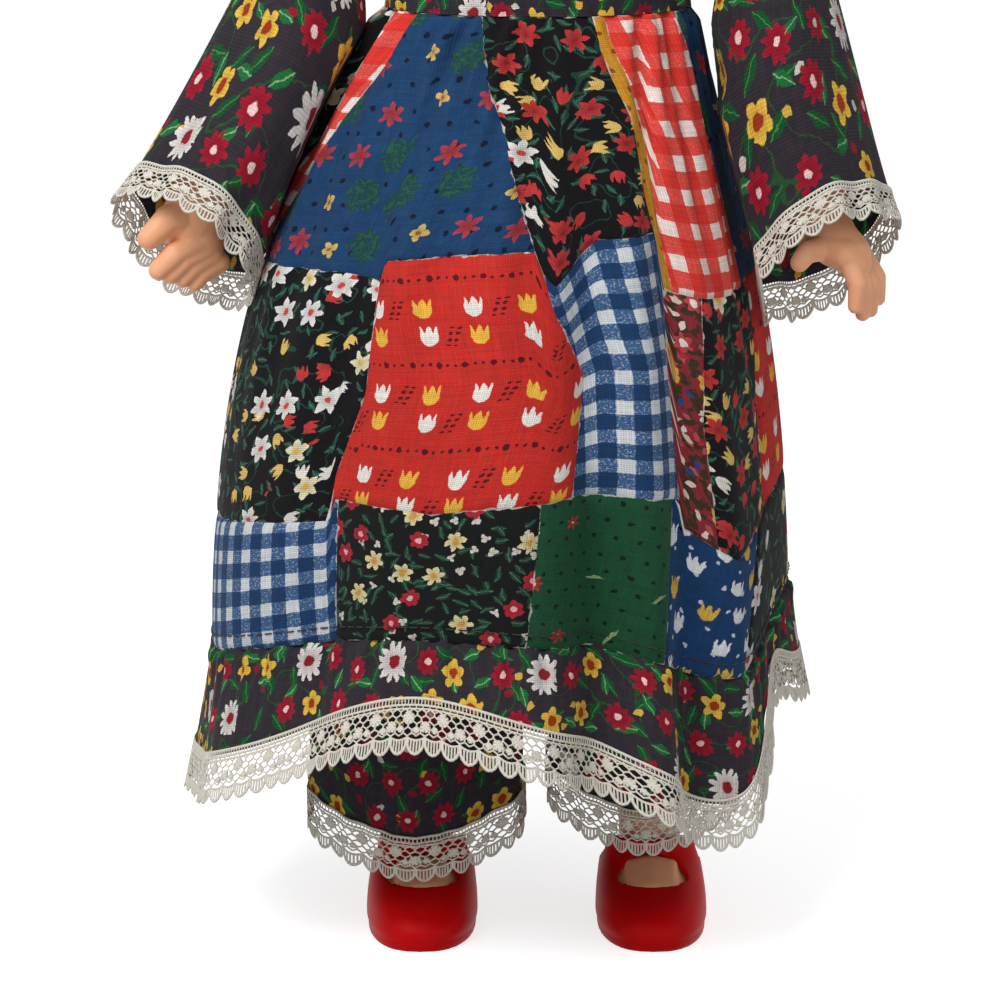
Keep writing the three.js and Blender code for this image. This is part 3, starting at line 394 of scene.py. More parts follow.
# %% Leaf, tulip, gingham and vine groups
leaf, bench, given, made = new_group("leaf", [("Place", None), ("Length", 3.0), ("Width", 1.3)], ["Mask", "Rib"])
x, y, _ = bench.split(given["Place"])
lengthwise = bench.math("DIVIDE", x, given["Length"])
taper = bench.math("SUBTRACT", 1.0, bench.times(lengthwise, lengthwise))
side = bench.math("DIVIDE", bench.math("ABSOLUTE", y), given["Width"])
bench.feed(made["Mask"], bench.below(side, taper, 0.12))
bench.feed(made["Rib"], bench.below(bench.math("ABSOLUTE", y), 0.12, 0.1))

tulip, bench, given, made = new_group("tulip", [("Place", None), ("Size", 5.0)], ["Mask"])
stretch = bench.join(given["Size"], bench.times(given["Size"], 1.12), 1.0)
x, y, _ = bench.split(bench.vector("DIVIDE", given["Place"], stretch))
cup = bench.vector("LENGTH", bench.join(x, bench.math("MINIMUM", y, 0.0)))
crown = bench.math("ABSOLUTE", bench.math("COSINE", bench.times(x, math.pi / 0.42)))
top = bench.math("ADD", 0.1, bench.times(crown, 0.36))
bench.feed(made["Mask"], bench.times(bench.below(cup, 0.43, 0.03), bench.below(y, top, 0.04)))

gingham, bench, given, made = new_group(
    "gingham", [("Cloth", None), ("Pitch", 8.0), ("Band", 0.48)], ["Across", "Along"]
)
across, along, _ = bench.split(given["Cloth"])
for label, distance in (("Across", across), ("Along", along)):
    place_in_check = bench.math("FRACT", bench.math("DIVIDE", distance, given["Pitch"]))
    centre = bench.math("ABSOLUTE", bench.math("SUBTRACT", place_in_check, 0.5))
    bench.feed(made[label], bench.below(centre, bench.times(given["Band"], 0.5), 0.012))

vines, bench, given, made = new_group("vines", [("Cloth", None), ("Scale", 0.06), ("Width", 0.012)], ["Mask"])
field = bench.noise(given["Cloth"], given["Scale"], 0.5)
bands = bench.math("PINGPONG", bench.times(field, 5.0), 0.5)
bench.feed(made["Mask"], bench.below(bands, given["Width"], bench.times(given["Width"], 0.4)))
print("shape groups:", [tree.name for tree in (leaf, tulip, gingham, vines)])

# %% [markdown]
# ## Printed cottons
# Every fabric starts as the same cotton: rough, with a faint sheen from loose fibres and the bumps of its
# weave. What differs is the print, so a print is a function that paints motifs over a ground, and one helper
# turns any print into a finished cloth.

# %% Cotton from a print
COTTON_ROUGHNESS, WEAVE_PITCH, HAND_SCALE = 0.88, 0.55, 0.45


def cotton(name, print_on, loose=0.9):
    """A finished cloth; loose is how far, in mm, the print strays from true lines, as drawn by hand."""
    material, bench, shader = new_finish(name)
    cloth = bench.add("ShaderNodeAttribute", attribute_name="cloth").outputs["Vector"]
    _, _, to_edge = bench.split(cloth)
    cloth = bench.vector("MULTIPLY", cloth, (1, 1, 0))
    weave = bench.group(plain_weave, Cloth=cloth, Pitch=WEAVE_PITCH)
    hand = bench.add("ShaderNodeTexNoise")
    hand.inputs["Scale"].default_value = HAND_SCALE
    bench.feed(hand.inputs["Vector"], cloth)
    wander = bench.scaled(bench.vector("SUBTRACT", hand.outputs["Color"], (0.5, 0.5, 0.5)), 2 * loose)
    colour = print_on(bench, bench.vector("ADD", cloth, bench.vector("MULTIPLY", wander, (1, 1, 0))))
    frayed = bench.math("MULTIPLY_ADD", bench.noise(cloth, 0.22, 3), 2.6, -1.35)
    pale_edge = bench.times(bench.below(to_edge, frayed, 0.12), 0.65)
    colour = bench.paint(pale_edge, colour, dye("d9d5cd"))
    # The weave's bumps also darken the colour in the dips between the threads: painted shade. The thread-to-thread
    # tone and the faded patches are the cloth's own colour.
    shade = bench.math("MULTIPLY_ADD", weave["Shade"], 0.9, 0.55)
    for part, share, least in (("Height", 0.36, 0.8), ("Fade", 0.3, 0.87)):
        shade = bench.times(shade, bench.math("MULTIPLY_ADD", weave[part], share, least))
    mixed = bench.add("ShaderNodeMix", data_type="RGBA", blend_type="MULTIPLY")
    mixed.inputs[0].default_value = 1.0
    bench.feed(mixed.inputs[6], colour)
    bench.feed(mixed.inputs[7], shade)
    bench.feed(shader.inputs["Base Color"], mixed.outputs[2])
    roughness = bench.math("MULTIPLY_ADD", weave["Shade"], 0.12, COTTON_ROUGHNESS - 0.06)
    bench.feed(shader.inputs["Roughness"], roughness)
    shader.inputs["Sheen Weight"].default_value = 0.03
    shader.inputs["Sheen Roughness"].default_value = 0.45
    shader.inputs["Specular IOR Level"].default_value = 0.12
    bench.bump(shader, weave["Height"], 0.5, 0.22)
    print("fabric", name, len(material.node_tree.nodes), "nodes")
    return material


# %% Stamps for prints
def moved(bench, vector, x, y):
    return bench.vector("ADD", vector, (x, y, 0))


def ground(bench, cloth, scale, detail, dark, light):
    """The cloth's own colour, mottled between two dyes."""
    return bench.paint(bench.noise(cloth, scale, detail), dye(dark), dye(light))


def spots(bench, cloth, pitch, stray, seed, turn=1.0):
    """Scattered places: where a point lies about the nearest one, and the number that picks its motif."""
    out = bench.group(scatter, Cloth=cloth, Pitch=pitch, Stray=stray, Turn=turn, Seed=seed)
    return out["Place"], out["Kind"]


def stamp(bench, colour, shape, spot, kinds, ink):
    """One ink over a shape, at the places whose number lies in kinds."""
    return bench.paint(bench.times(shape, bench.among(spot[1], *kinds)), colour, dye(ink))


def flower(bench, colour, spot, kinds, form, petal, heart, heart_radius, also=None):
    """Petals and a heart; form is the radius in mm, the count, the depth of the cuts and how pointed they are."""
    place_on, kind = spot
    where = bench.among(kind, *kinds)
    if also is not None:
        where = bench.times(where, also)
    radius, count, depth, point = form
    shape = bench.group(petals, Place=place_on, Radius=radius, Count=count, Depth=depth, Point=point)
    inner = tuple(0.55 * part for part in dye(petal)[:3]) + (1.0,)
    shaded = bench.paint(bench.times(shape["Reach"], 1.2), inner, dye(petal))
    colour = bench.paint(bench.times(shape["Mask"], where), colour, shaded)
    eye = bench.below(bench.vector("LENGTH", place_on), heart_radius, 0.15)
    return bench.paint(bench.times(eye, where), colour, dye(heart))


def leaves(bench, colour, spot, kinds, length, width, green, rib):
    place_on, kind = spot
    where = bench.among(kind, *kinds)
    shape = bench.group(leaf, Place=place_on, Length=length, Width=width)
    colour = bench.paint(bench.times(shape["Mask"], where), colour, dye(green))
    vein = bench.times(shape["Mask"], shape["Rib"])
    return bench.paint(bench.times(vein, where), colour, dye(rib))


def pin_dots(bench, colour, cloth, pitch, radius, ink):
    place_on, _ = spots(bench, cloth, pitch, 0.0, 0.0)
    return bench.paint(bench.below(bench.vector("LENGTH", place_on), radius, 0.12), colour, dye(ink))


# %% Dark calico of the sleeves, ruffle and bloomers
CALICO_LEAVES = [(7.8, 3.0, 3.1, "15502c", "4d8449"), (9.2, 21.0, 2.5, "1d6a38", "8fb383")]
CALICO_BUDS = [((0.0, 0.15), "d6ac4a"), ((0.15, 0.28), "8f1a2e"), ((0.28, 0.32), "cfc8bd")]


def dark_calico_print(bench, cloth):
    colour = ground(bench, cloth, 0.5, 2, "2b262c", "39333a")
    stems = bench.group(vines, Cloth=moved(bench, cloth, 40, 7), Scale=0.055, Width=0.02)
    colour = bench.paint(stems["Mask"], colour, dye("28502c"))
    for pitch, seed, length, green, rib in CALICO_LEAVES:
        spot = spots(bench, moved(bench, cloth, seed, 5.7), pitch, 4.0, seed)
        colour = leaves(bench, colour, spot, (0.0, 0.6), length, 1.2, green, rib)
    spot = spots(bench, moved(bench, cloth, 6.4, 1.9), 6.6, 3.8, 7.0)
    bud = bench.group(leaf, Place=spot[0], Length=1.3, Width=0.85)["Mask"]
    for kinds, ink in CALICO_BUDS:
        colour = stamp(bench, colour, bud, spot, kinds, ink)
    spot = spots(bench, cloth, 10.6, 4.2, 11.0)
    colour = flower(bench, colour, spot, (0.0, 0.4), (3.3, 5, 0.42, 0), "e6bb47", "9c371c", 1.2)
    colour = flower(bench, colour, spot, (0.4, 0.86), (3.4, 9, 0.36, 0.3), "a01a30", "ecc6c2", 0.85)
    return flower(bench, colour, spot, (0.9, 1.0), (5.0, 12, 0.42, 0), "e2dad6", "8c1f2a", 1.5)


dark_calico = cotton("dark_calico", dark_calico_print)


# %% Blue, green and dense prints
def blue_calico_print(bench, cloth):
    colour = pin_dots(bench, ground(bench, cloth, 0.3, 3, "17345a", "244a72"), cloth, 6.2, 0.72, "121a30")
    spot = spots(bench, moved(bench, cloth, 5, 3), 12.5, 5.0, 2.0)
    clump = bench.group(petals, Place=spot[0], Radius=4.9, Count=8, Depth=0.3, Point=0.2)["Mask"]
    for broken, green in ((0.6, "1d4340"), (0.47, "285746")):
        ragged = bench.below(bench.noise(cloth, 0.9, 3), broken, 0.06)
        colour = stamp(bench, colour, bench.times(clump, ragged), spot, (0.0, 0.42), green)
    colour = flower(bench, colour, spot, (0.42, 0.74), (3.5, 6, 0.68, 0.6), "b03c46", "8c3038", 0.8)
    return flower(bench, colour, spot, (0.74, 1.0), (2.3, 4, 0.55, 0), "d6b266", "8e5a30", 0.5)


def green_dot_print(bench, cloth):
    colour = pin_dots(bench, ground(bench, cloth, 0.3, 3, "17422b", "205034"), cloth, 4.8, 0.55, "0e1f16")
    spot = spots(bench, moved(bench, cloth, 3, 4), 15.0, 4.0, 5.0)
    colour = flower(bench, colour, spot, (0.0, 0.4), (2.2, 6, 0.66, 0.7), "b03a34", "e6c9a8", 0.4)
    return leaves(bench, colour, spot, (0.6, 0.85), 3.0, 0.45, "93a97c", "5f7f58")


def dense_print(bench, cloth):
    colour = ground(bench, cloth, 0.35, 3, "0f0f10", "191d1b")
    for pitch, seed in ((4.2, 4.0), (5.0, 14.0)):
        spot = spots(bench, moved(bench, cloth, seed, 1.0), pitch, 2.6, seed)
        colour = leaves(bench, colour, spot, (0.0, 0.6), 2.1, 0.75, "1f3f2f", "4d6f55")
    spot = spots(bench, moved(bench, cloth, 2.1, 1.3), 5.0, 2.8, 8.0)
    colour = flower(bench, colour, spot, (0.0, 0.34), (1.2, 3, 0.6, 0.4), "d9d4cc", "c7bfae", 0.4)
    spot = spots(bench, moved(bench, cloth, 1.0, 3.2), 8.4, 3.6, 6.0)
    colour = flower(bench, colour, spot, (0.0, 0.36), (2.6, 6, 0.3, 0), "a82a36", "e3a5a4", 0.8)
    return flower(bench, colour, spot, (0.46, 0.74), (2.9, 6, 0.5, 0.3), "ddcf9e", "c98f3e", 0.9)


blue_calico = cotton("blue_calico", blue_calico_print)
green_dot = cotton("green_pin_dot", green_dot_print)
dense_floral = cotton("dense_floral", dense_print)


# %% Black floral and rust prints
def black_floral_print(stars, red_over):
    """Sprigs on black: stars is the share of places that hold a star, red_over the mottle that reds need."""

    def print_on(bench, cloth):
        colour = ground(bench, cloth, 0.5, 2, "0d0c0e", "161518")
        stems = bench.group(vines, Cloth=cloth, Scale=0.09, Width=0.035)
        colour = bench.paint(stems["Mask"], colour, dye("1f4034"))
        for pitch, seed, length in ((5.2, 9.0, 2.0), (6.0, 19.0, 1.7)):
            spot = spots(bench, moved(bench, cloth, seed, 4.1), pitch, 3.2, seed)
            colour = leaves(bench, colour, spot, (0.0, 0.6), length, 0.65, "234a3b", "4a715e")
        warm = bench.math("GREATER_THAN", bench.noise(cloth, 0.035, 0), red_over)
        spot = spots(bench, moved(bench, cloth, 5.2, 1.0), 6.8, 3.8, 12.0)
        shape = bench.group(tulip, Place=spot[0], Size=3.9)["Mask"]
        colour = stamp(bench, colour, bench.times(shape, warm), spot, (0.0, 0.42), "bf3a3a")
        for kinds, ink in (((0.42, 0.56), "dcb968"), ((0.56, 0.66), "e0dbd2")):
            colour = stamp(bench, colour, shape, spot, kinds, ink)
        spot = spots(bench, moved(bench, cloth, 2.0, 8.0), 11.4, 5.0, 15.0)
        white = 0.6 * stars
        colour = flower(bench, colour, spot, (0.0, white), (4.1, 6, 0.5, 0.85), "e6e3df", "c8443f", 0.9)
        colour = flower(bench, colour, spot, (white, stars), (3.6, 5, 0.5, 0.7), "e8dfba", "d9a93e", 0.9)
        return flower(bench, colour, spot, (stars, 0.85), (3.3, 6, 0.5, 0.8), "bf3a3a", "8e2428", 0.6, warm)

    return print_on


RUST_FLECKS = [(3.8, 3.0, ("c4525a", "e6d6cc", "4a2a22")), (4.6, 7.0, ("b23440", "2c4a86", "d9c8b4"))]


def rust_print(bench, cloth):
    colour = bench.paint(bench.below(bench.noise(cloth, 0.4, 3), 0.5, 0.03), dye("8c3038"), dye("3f3424"))
    for pitch, seed, inks in RUST_FLECKS:
        spot = spots(bench, moved(bench, cloth, seed, 2.0), pitch, 2.4, seed)
        fleck = bench.group(leaf, Place=spot[0], Length=1.4, Width=0.7)["Mask"]
        for number, ink in enumerate(inks):
            colour = stamp(bench, colour, fleck, spot, (0.3 * number, 0.3 * number + 0.2), ink)
    spot = spots(bench, moved(bench, cloth, 2, 3), 9.0, 3.0, 5.0)
    colour = flower(bench, colour, spot, (0.0, 0.4), (2.6, 6, 0.35, 0.3), "c94a52", "efe3d8", 1.1)
    return flower(bench, colour, spot, (0.5, 0.8), (2.7, 5, 0.35, 0), "e0b048", "a84a28", 0.7)


black_floral = cotton("black_floral", black_floral_print(0.5, 0.62))
sprig_floral = cotton("sprig_floral", black_floral_print(0.16, 0.27))
rust_floral = cotton("rust_floral", rust_print)

# %% Tulip prints
TULIP_COLUMN, TULIP_ROW, SPRIG_STEP, SPRIG_INK = 12.6, 22.5, 1.55, "571820"


def from_middle(bench, steps, pitch):
    """How far a point lies from the middle of its own step, in mm."""
    return bench.times(bench.math("SUBTRACT", bench.math("FRACT", steps), 0.5), pitch)


def red_tulip_print(bench, cloth):
    """Pairs of tulips, white over yellow and yellow over white, with dark sprigs, between dotted lines."""
    colour = ground(bench, cloth, 0.3, 3, "bf2b26", "cb352d")
    across, along, _ = bench.split(cloth)
    to_line = bench.math("PINGPONG", along, TULIP_ROW / 2)
    for pitch, size in ((2.2, 0.42), (6.6, 0.8)):
        near_dot = bench.join(bench.math("PINGPONG", across, pitch / 2), to_line)
        colour = bench.paint(bench.below(bench.vector("LENGTH", near_dot), size, 0.12), colour, dye(SPRIG_INK))
    for rise, lower in ((7.4, 0.0), (14.7, 1.0)):
        column = bench.math("DIVIDE", bench.math("ADD", across, 0.8 * lower), TULIP_COLUMN)
        above = bench.math("SUBTRACT", bench.math("FLOORED_MODULO", along, TULIP_ROW), rise)
        yellow = bench.math("FLOORED_MODULO", bench.math("ADD", bench.math("FLOOR", column), lower), 2.0)
        beside = from_middle(bench, column, TULIP_COLUMN)
        shape = bench.group(tulip, Place=bench.join(beside, above), Size=5.0)["Mask"]
        colour = bench.paint(shape, colour, bench.paint(yellow, dye("e9e4dc"), dye("e6b245")))
        halfway = bench.math("ADD", column, 0.5)
        from_stem = from_middle(bench, halfway, TULIP_COLUMN)
        leaning = bench.math("ADD", from_stem, bench.times(above, -0.35))
        stem_side = bench.times(bench.math("SUBTRACT", bench.math("ABSOLUTE", leaning), 0.95), 0.75)
        leaf_step = from_middle(bench, bench.math("DIVIDE", above, SPRIG_STEP), SPRIG_STEP)
        sprig = bench.below(bench.vector("LENGTH", bench.join(stem_side, leaf_step)), 0.45, 0.1)
        sprig = bench.times(sprig, bench.math("LESS_THAN", bench.math("ABSOLUTE", above), 2.4))
        number = bench.math("ADD", bench.math("FLOOR", halfway), lower)
        every_other = bench.math("FLOORED_MODULO", number, 2.0)
        colour = bench.paint(bench.times(sprig, every_other), colour, dye(SPRIG_INK))
    return colour


def blue_tulip_print(bench, cloth):
    colour = pin_dots(bench, ground(bench, cloth, 0.3, 3, "17365c", "1f4472"), cloth, 6.5, 0.55, "c5ccd8")
    spot = spots(bench, moved(bench, cloth, 3, 2), 9.6, 3.0, 4.0, turn=0.0)
    shape = bench.group(tulip, Place=spot[0], Size=4.8)["Mask"]
    for number, ink in enumerate(("dfe2e6", "d9b04a", "dfe2e6")):
        colour = stamp(bench, colour, shape, spot, (number / 3, (number + 1) / 3), ink)
    return colour


red_tulip = cotton("red_tulip", red_tulip_print, loose=0.6)
blue_tulip = cotton("blue_tulip", blue_tulip_print)

# %% Ginghams and the ochre strip
GINGHAM_BAND, WOVEN_TRUE = 0.54, 0.35


def gingham_print(pitch, pale, middle, deep, heather):
    """Checks: pale where no band runs, tinted and flecked along one, and deep where two cross."""
    pale, middle, deep = dye(pale), dye(middle), dye(deep)

    def print_on(bench, cloth):
        check = bench.group(gingham, Cloth=cloth, Pitch=pitch, Band=GINGHAM_BAND)
        grain = bench.noise(cloth, 2.2, 2)
        flecks = bench.below(bench.noise(cloth, 1.7, 3), 0.42, 0.06)
        tinted = bench.paint(bench.math("MULTIPLY_ADD", grain, 0.2, 0.87), pale, middle)
        tinted = bench.paint(bench.times(flecks, heather), tinted, pale)
        both = bench.times(check["Across"], check["Along"])
        either = bench.math("MAXIMUM", check["Across"], check["Along"])
        return bench.paint(both, bench.paint(either, pale, tinted), deep)

    return print_on


def ochre_print(bench, cloth):
    return pin_dots(bench, ground(bench, cloth, 0.6, 3, "d59a2e", "b97d24"), cloth, 5.0, 0.7, "8c4a22")


blue_checks = gingham_print(7.8, "ccd1d5", "2c5482", "1d3a60", 0.4)
red_checks = gingham_print(8.4, "f2e0d8", "e2433a", "da3a32", 0.08)
blue_gingham = cotton("blue_gingham", blue_checks, WOVEN_TRUE)
red_gingham = cotton("red_gingham", red_checks, WOVEN_TRUE)
ochre = cotton("ochre_strip", ochre_print)

# %% [markdown]
# ## The patchwork skirt
# The skirt is a cone of cloth, gathered into the waist seam and pieced from three rows of patches. Its folds
# are the ones of the CAD solid, written again as a table of bumps round the hem. Cloth simulation would give
# other folds each time, so the shape is drawn: broad folds from the table, tight gathers that die out below
# the waist, softer ones that hang under them, and a shallow groove along each patch seam.

# %% The skirt's form
EASE, CLOTH = 0.5, 1.2
WAIST_HALF_WIDTH, WAIST_HALF_DEPTH, SKIRT_TOP = 37, 29, 239.7
SKIRT_HALF, SKIRT_SHIFT, SKIRT_BELL, SEAM_HEIGHT = 74, -10, 2.1, 84
GATHER, GATHER_FALL, DRAPE, DRAPE_AT, DRAPE_SPREAD = 1.4, 0.22, 1.1, 0.38, 0.3
FOLDS = [(-62, 16, 3), (-36, 9, -4), (3, 16, 4.5), (20, 7, -9.5), (30, 6, 3.5), (41, 6, -5.5), (53, 6, 2)]
FOLDS += [(74, 10, -1.5), (102, 12, 3), (128, 9, -5), (150, 9, 4), (172, 9, -5), (194, 9, 4), (216, 9, -5)]
FOLDS += [(240, 10, 3)]
SEAM_WAVES = [(-88, 32, -9), (-8, 36, 8), (52, 18, -9), (96, 22, 5)]


def waves(table, angle):
    """Bumps round the skirt: each is (middle in degrees from the front, half width, size in mm)."""
    total = np.zeros_like(angle)
    for middle, half_width, size in table:
        away = (np.degrees(angle) - middle + 180) % 360 - 180
        total += size * np.exp(-((away / half_width) ** 2))
    return total


def gathers(angle, fall):
    """Small folds in mm; fall is 0 at the waist and 1 at the ruffle's seam."""
    ripple = np.cos(29 * angle + 2.6 * np.sin(3 * angle)) + 0.7 * np.cos(43 * angle + 2.1 * np.sin(5 * angle + 1))
    pinched = GATHER * ripple * np.exp(-fall / GATHER_FALL) * np.clip(fall / 0.02, 0.35, 1)
    hang = np.cos(15 * angle + 2.4 * np.sin(2 * angle) + 2.5 * fall) * (0.55 + 0.45 * np.cos(3 * angle + 1.2))
    hang = hang + 0.45 * np.cos(24 * angle + 1.8 * np.sin(5 * angle) - 4 * fall + 1)
    return pinched + DRAPE * hang * np.exp(-(((fall - DRAPE_AT) / DRAPE_SPREAD) ** 2))


def bell(fall):
    """How much of its spread the skirt has reached, from 0 at the waist to 1."""
    return 1 - (1 - fall) ** SKIRT_BELL


def skirt_point(angle, fall, out=0.0):
    """Points on the skirt, by the angle from the front and the fall, and mm out from the cloth."""
    angle, fall = np.broadcast_arrays(np.asarray(angle, float), np.asarray(fall, float))
    spread = bell(fall)
    shift = SKIRT_SHIFT * (1 - (1 - fall) ** 4)
    stand = EASE + CLOTH + fall * waves(FOLDS, angle) + gathers(angle, fall) + out
    half_width = WAIST_HALF_WIDTH + (SKIRT_HALF - EASE - CLOTH - WAIST_HALF_WIDTH) * spread + stand
    half_depth = WAIST_HALF_DEPTH + (SKIRT_HALF - EASE - CLOTH - WAIST_HALF_DEPTH) * spread + stand
    z = SKIRT_TOP + (SEAM_HEIGHT + waves(SEAM_WAVES, angle) - SKIRT_TOP) * fall
    return np.stack([shift + half_width * np.sin(angle), -half_depth * np.cos(angle), z], -1)


print("skirt drop", round(SKIRT_TOP - SEAM_HEIGHT, 1), "mm")

# %% [markdown]
# ### Patches
# The patches aren't square to each other: a row's lower edge steps up and down from patch to patch, and the
# upright seams lean as the cloth is drawn into the waist. Each upright seam is therefore three bearings, at
# the top, the middle and the bottom of its row, and each row's edge is a table of how far down it lies.

# %% Patch tables
ROW_A_END = [(-180, 0.40), (-92, 0.38), (-41, 0.40), (-29.8, 0.418), (-29.2, 0.385), (-15, 0.378), (6.8, 0.365)]
ROW_A_END += [(9, 0.40), (11.5, 0.42), (23, 0.345), (41, 0.325), (42, 0.41), (51, 0.42), (76, 0.45), (130, 0.42)]
ROW_A_END += [(180, 0.40)]
ROW_B_END = [(-180, 0.78), (-68, 0.79), (-37, 0.80), (-36, 0.765), (-13, 0.79), (15.5, 0.753), (41.5, 0.73)]
ROW_B_END += [(42, 0.77), (54, 0.82), (72, 0.80), (180, 0.78)]
ROWS = {
    "A": [
        ((-69, -72, -95), red_gingham), ((-52, -61.5, -82), blue_calico), ((-21, -3, 7), sprig_floral),
        ((20, 35, 41), ochre), ((25, 40, 44), red_gingham), ((62, 73, 76), blue_calico), ((92, 95, 97), red_tulip),
        ((128, 130, 131), blue_gingham), ((163, 164, 165), dense_floral), ((198, 199, 200), green_dot),
        ((240, 236, 234), black_floral), ((291, 288, 265), None),
    ],
    "B": [
        ((-100, -100, -100), black_floral), ((-30, -29.5, -38), red_tulip), ((9, 19, 15), blue_gingham),
        ((42, 41, 41.5), rust_floral), ((51, 48, 49), sprig_floral), ((82, 74, 71), red_tulip),
        ((104, 103, 102), blue_calico), ((136, 137, 136), green_dot), ((172, 171, 172), red_gingham),
        ((206, 207, 206), blue_tulip), ((236, 235, 236), dense_floral), ((260, 260, 260), None),
    ],
    "C": [
        ((-100, -100, -100), blue_gingham), ((-35, -35, -35), dense_floral), ((8, 6.5, 5), green_dot),
        ((39.5, 36, 33), blue_tulip), ((66, 60, 55), black_floral), ((94, 93, 92), red_gingham),
        ((128, 128, 129), red_tulip), ((163, 164, 164), rust_floral), ((198, 199, 198), blue_calico),
        ((230, 230, 231), black_floral), ((260, 260, 260), None),
    ],
}


def row_edge(table, angle):
    """How far down a row ends at an angle, as a fall."""
    bearings = (np.degrees(angle) + 180) % 360 - 180
    return np.interp(bearings, [b for b, _ in table], [f for _, f in table])


def row_span(row, angle):
    """The falls at which a row of patches starts and ends."""
    if row == "A":
        return np.zeros_like(angle), row_edge(ROW_A_END, angle)
    if row == "B":
        return row_edge(ROW_A_END, angle), row_edge(ROW_B_END, angle)
    return row_edge(ROW_B_END, angle), np.ones_like(angle)


# %% Sew the patches
PATCH_STEP, SEAM_GROOVE, PATCH_PILLOW, MOST_TILT = 1.1, 0.5, 0.35, 4
ROW_RADIUS = {"A": 55, "B": 70, "C": 70}
ROW_STEPS = {"A": 58, "B": 54, "C": 34}
CLOTH_RADIUS, CLOTH_SPREAD, CLOTH_LENGTH = 34, 41, 170
quilt_points, quilt_cloth, quilt_faces, quilt_fabric, fabrics = [], [], [], [], []
tilt_maker = np.random.default_rng(4)
first_point = 0
for row, seams in ROWS.items():
    for (left, fabric), (right, _) in zip(seams[:-1], seams[1:]):
        columns = max(6, int(math.radians(right[1] - left[1]) * ROW_RADIUS[row] / PATCH_STEP))
        rows = ROW_STEPS[row]
        down, over = np.meshgrid(np.linspace(0, 1, rows), np.linspace(0, 1, columns), indexing="ij")
        lean = [np.interp(down, [0, 0.5, 1], seam) for seam in (left, right)]
        angle = np.radians(lean[0] + (lean[1] - lean[0]) * over)
        top, bottom = row_span(row, angle)
        fall = top + (bottom - top) * down
        width = np.radians(lean[1] - lean[0]) * (CLOTH_RADIUS + CLOTH_SPREAD * bell(fall))
        height = np.mean(bottom - top) * CLOTH_LENGTH
        to_edge = np.minimum(np.minimum(over, 1 - over) * width, np.minimum(down, 1 - down) * height)
        groove = -SEAM_GROOVE * np.exp(-((to_edge / 0.8) ** 2)) + PATCH_PILLOW * (1 - np.exp(-to_edge / 3.0))
        tilt = math.radians(tilt_maker.uniform(-MOST_TILT, MOST_TILT))
        start = tilt_maker.uniform(0, 60, 2)
        u, v = (over - 0.5) * width, (1 - down) * height
        across = start[0] + u * math.cos(tilt) - v * math.sin(tilt)
        along = start[1] + u * math.sin(tilt) + v * math.cos(tilt)
        quilt_points.append(skirt_point(angle, fall, groove).reshape(-1, 3))
        quilt_cloth.append(np.stack([across, along, to_edge], -1).reshape(-1, 3))
        quilt_faces.append(grid_faces(rows, columns, first_point))
        if fabric not in fabrics:
            fabrics.append(fabric)
        quilt_fabric.append(np.full((rows - 1) * (columns - 1), fabrics.index(fabric)))
        first_point += rows * columns
skirt = piece_from(
    "patchwork_skirt", np.concatenate(quilt_points), np.concatenate(quilt_faces), "torso", fabrics,
    np.concatenate(quilt_cloth), np.concatenate(quilt_fabric),
)
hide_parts("skirt")
print("patches", len(quilt_points), "in", len(fabrics), "fabrics")

# %% [markdown]
# ## The ruffle
# A strip of dark calico, about a quarter longer than the skirt's edge, gathered into the seam below the patches.
# It follows the skirt's own waves at the seam and swings wider towards its hem.

# %% Ruffle
RUFFLE_DROP, RUFFLE_FLARE, RUFFLE_FOLDS, RUFFLE_FOLD, LACE_DROP = 40, 6, 12, 1.8, 12
DROP_WAVES = [(-14, 30, -14), (46, 14, 5), (72, 12, -17), (98, 20, -10)]
FLARE_WAVES = [(-14, 30, 9), (52, 16, -4)]


def ruffle_point(angle, below, out=0.0):
    """Points on the ruffle, by the angle from the front and mm below the seam."""
    share = below / RUFFLE_DROP
    point = skirt_point(angle, np.ones_like(angle), out)
    flare = RUFFLE_FLARE + waves(FLARE_WAVES, angle) + RUFFLE_FOLD * np.cos(RUFFLE_FOLDS * angle)
    point[..., 0] += share * flare * np.sin(angle)
    point[..., 1] -= share * flare * np.cos(angle)
    point[..., 2] -= below
    return point


def ruffle_length(angle):
    """How far the calico hangs below the seam, in mm, before the lace begins."""
    return RUFFLE_DROP + waves(DROP_WAVES, angle) - LACE_DROP


def ruffle_gathers(angle, below):
    ripple = np.cos(61 * angle + 2.4 * np.sin(4 * angle)) + 0.6 * np.cos(97 * angle + 1.9 * np.sin(7 * angle))
    return 0.8 * ripple * np.exp(-np.maximum(below, 0) / 11.0)


RUFFLE_ROWS, RUFFLE_AROUND, RUFFLE_RADIUS, SEAM_TUCK = 34, 760, 88, 2.0
ring_angle = np.linspace(-math.pi, math.pi, RUFFLE_AROUND)
down, angle = np.meshgrid(np.linspace(0, 1, RUFFLE_ROWS), ring_angle, indexing="ij")
below = -SEAM_TUCK + down * (ruffle_length(angle) + SEAM_TUCK)
tuck = np.where(below < 0.4, -0.9, 0.0) + 0.35 * np.exp(-(((below - 2.2) / 1.6) ** 2))
ruffle = piece_from(
    "calico_ruffle", ruffle_point(angle, below, tuck + ruffle_gathers(angle, below)),
    grid_faces(RUFFLE_ROWS, RUFFLE_AROUND), "torso", [dark_calico], flat_cloth(angle * RUFFLE_RADIUS, -below),
)
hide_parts("skirt_ruffle")

# %% [markdown]
# ## Lace
# The hem, cuffs, bloomers and collar are trimmed with cotton lace: two cords with little bars, a net of open
# cells, sprigs worked solid, and a ribbed scallop at the edge. A picture of lace looks flat at its edge, so
# every thread is swept as a thin ribbon. One repeat is drawn in shares of its width and depth, and then laid
# along any strip of cloth.

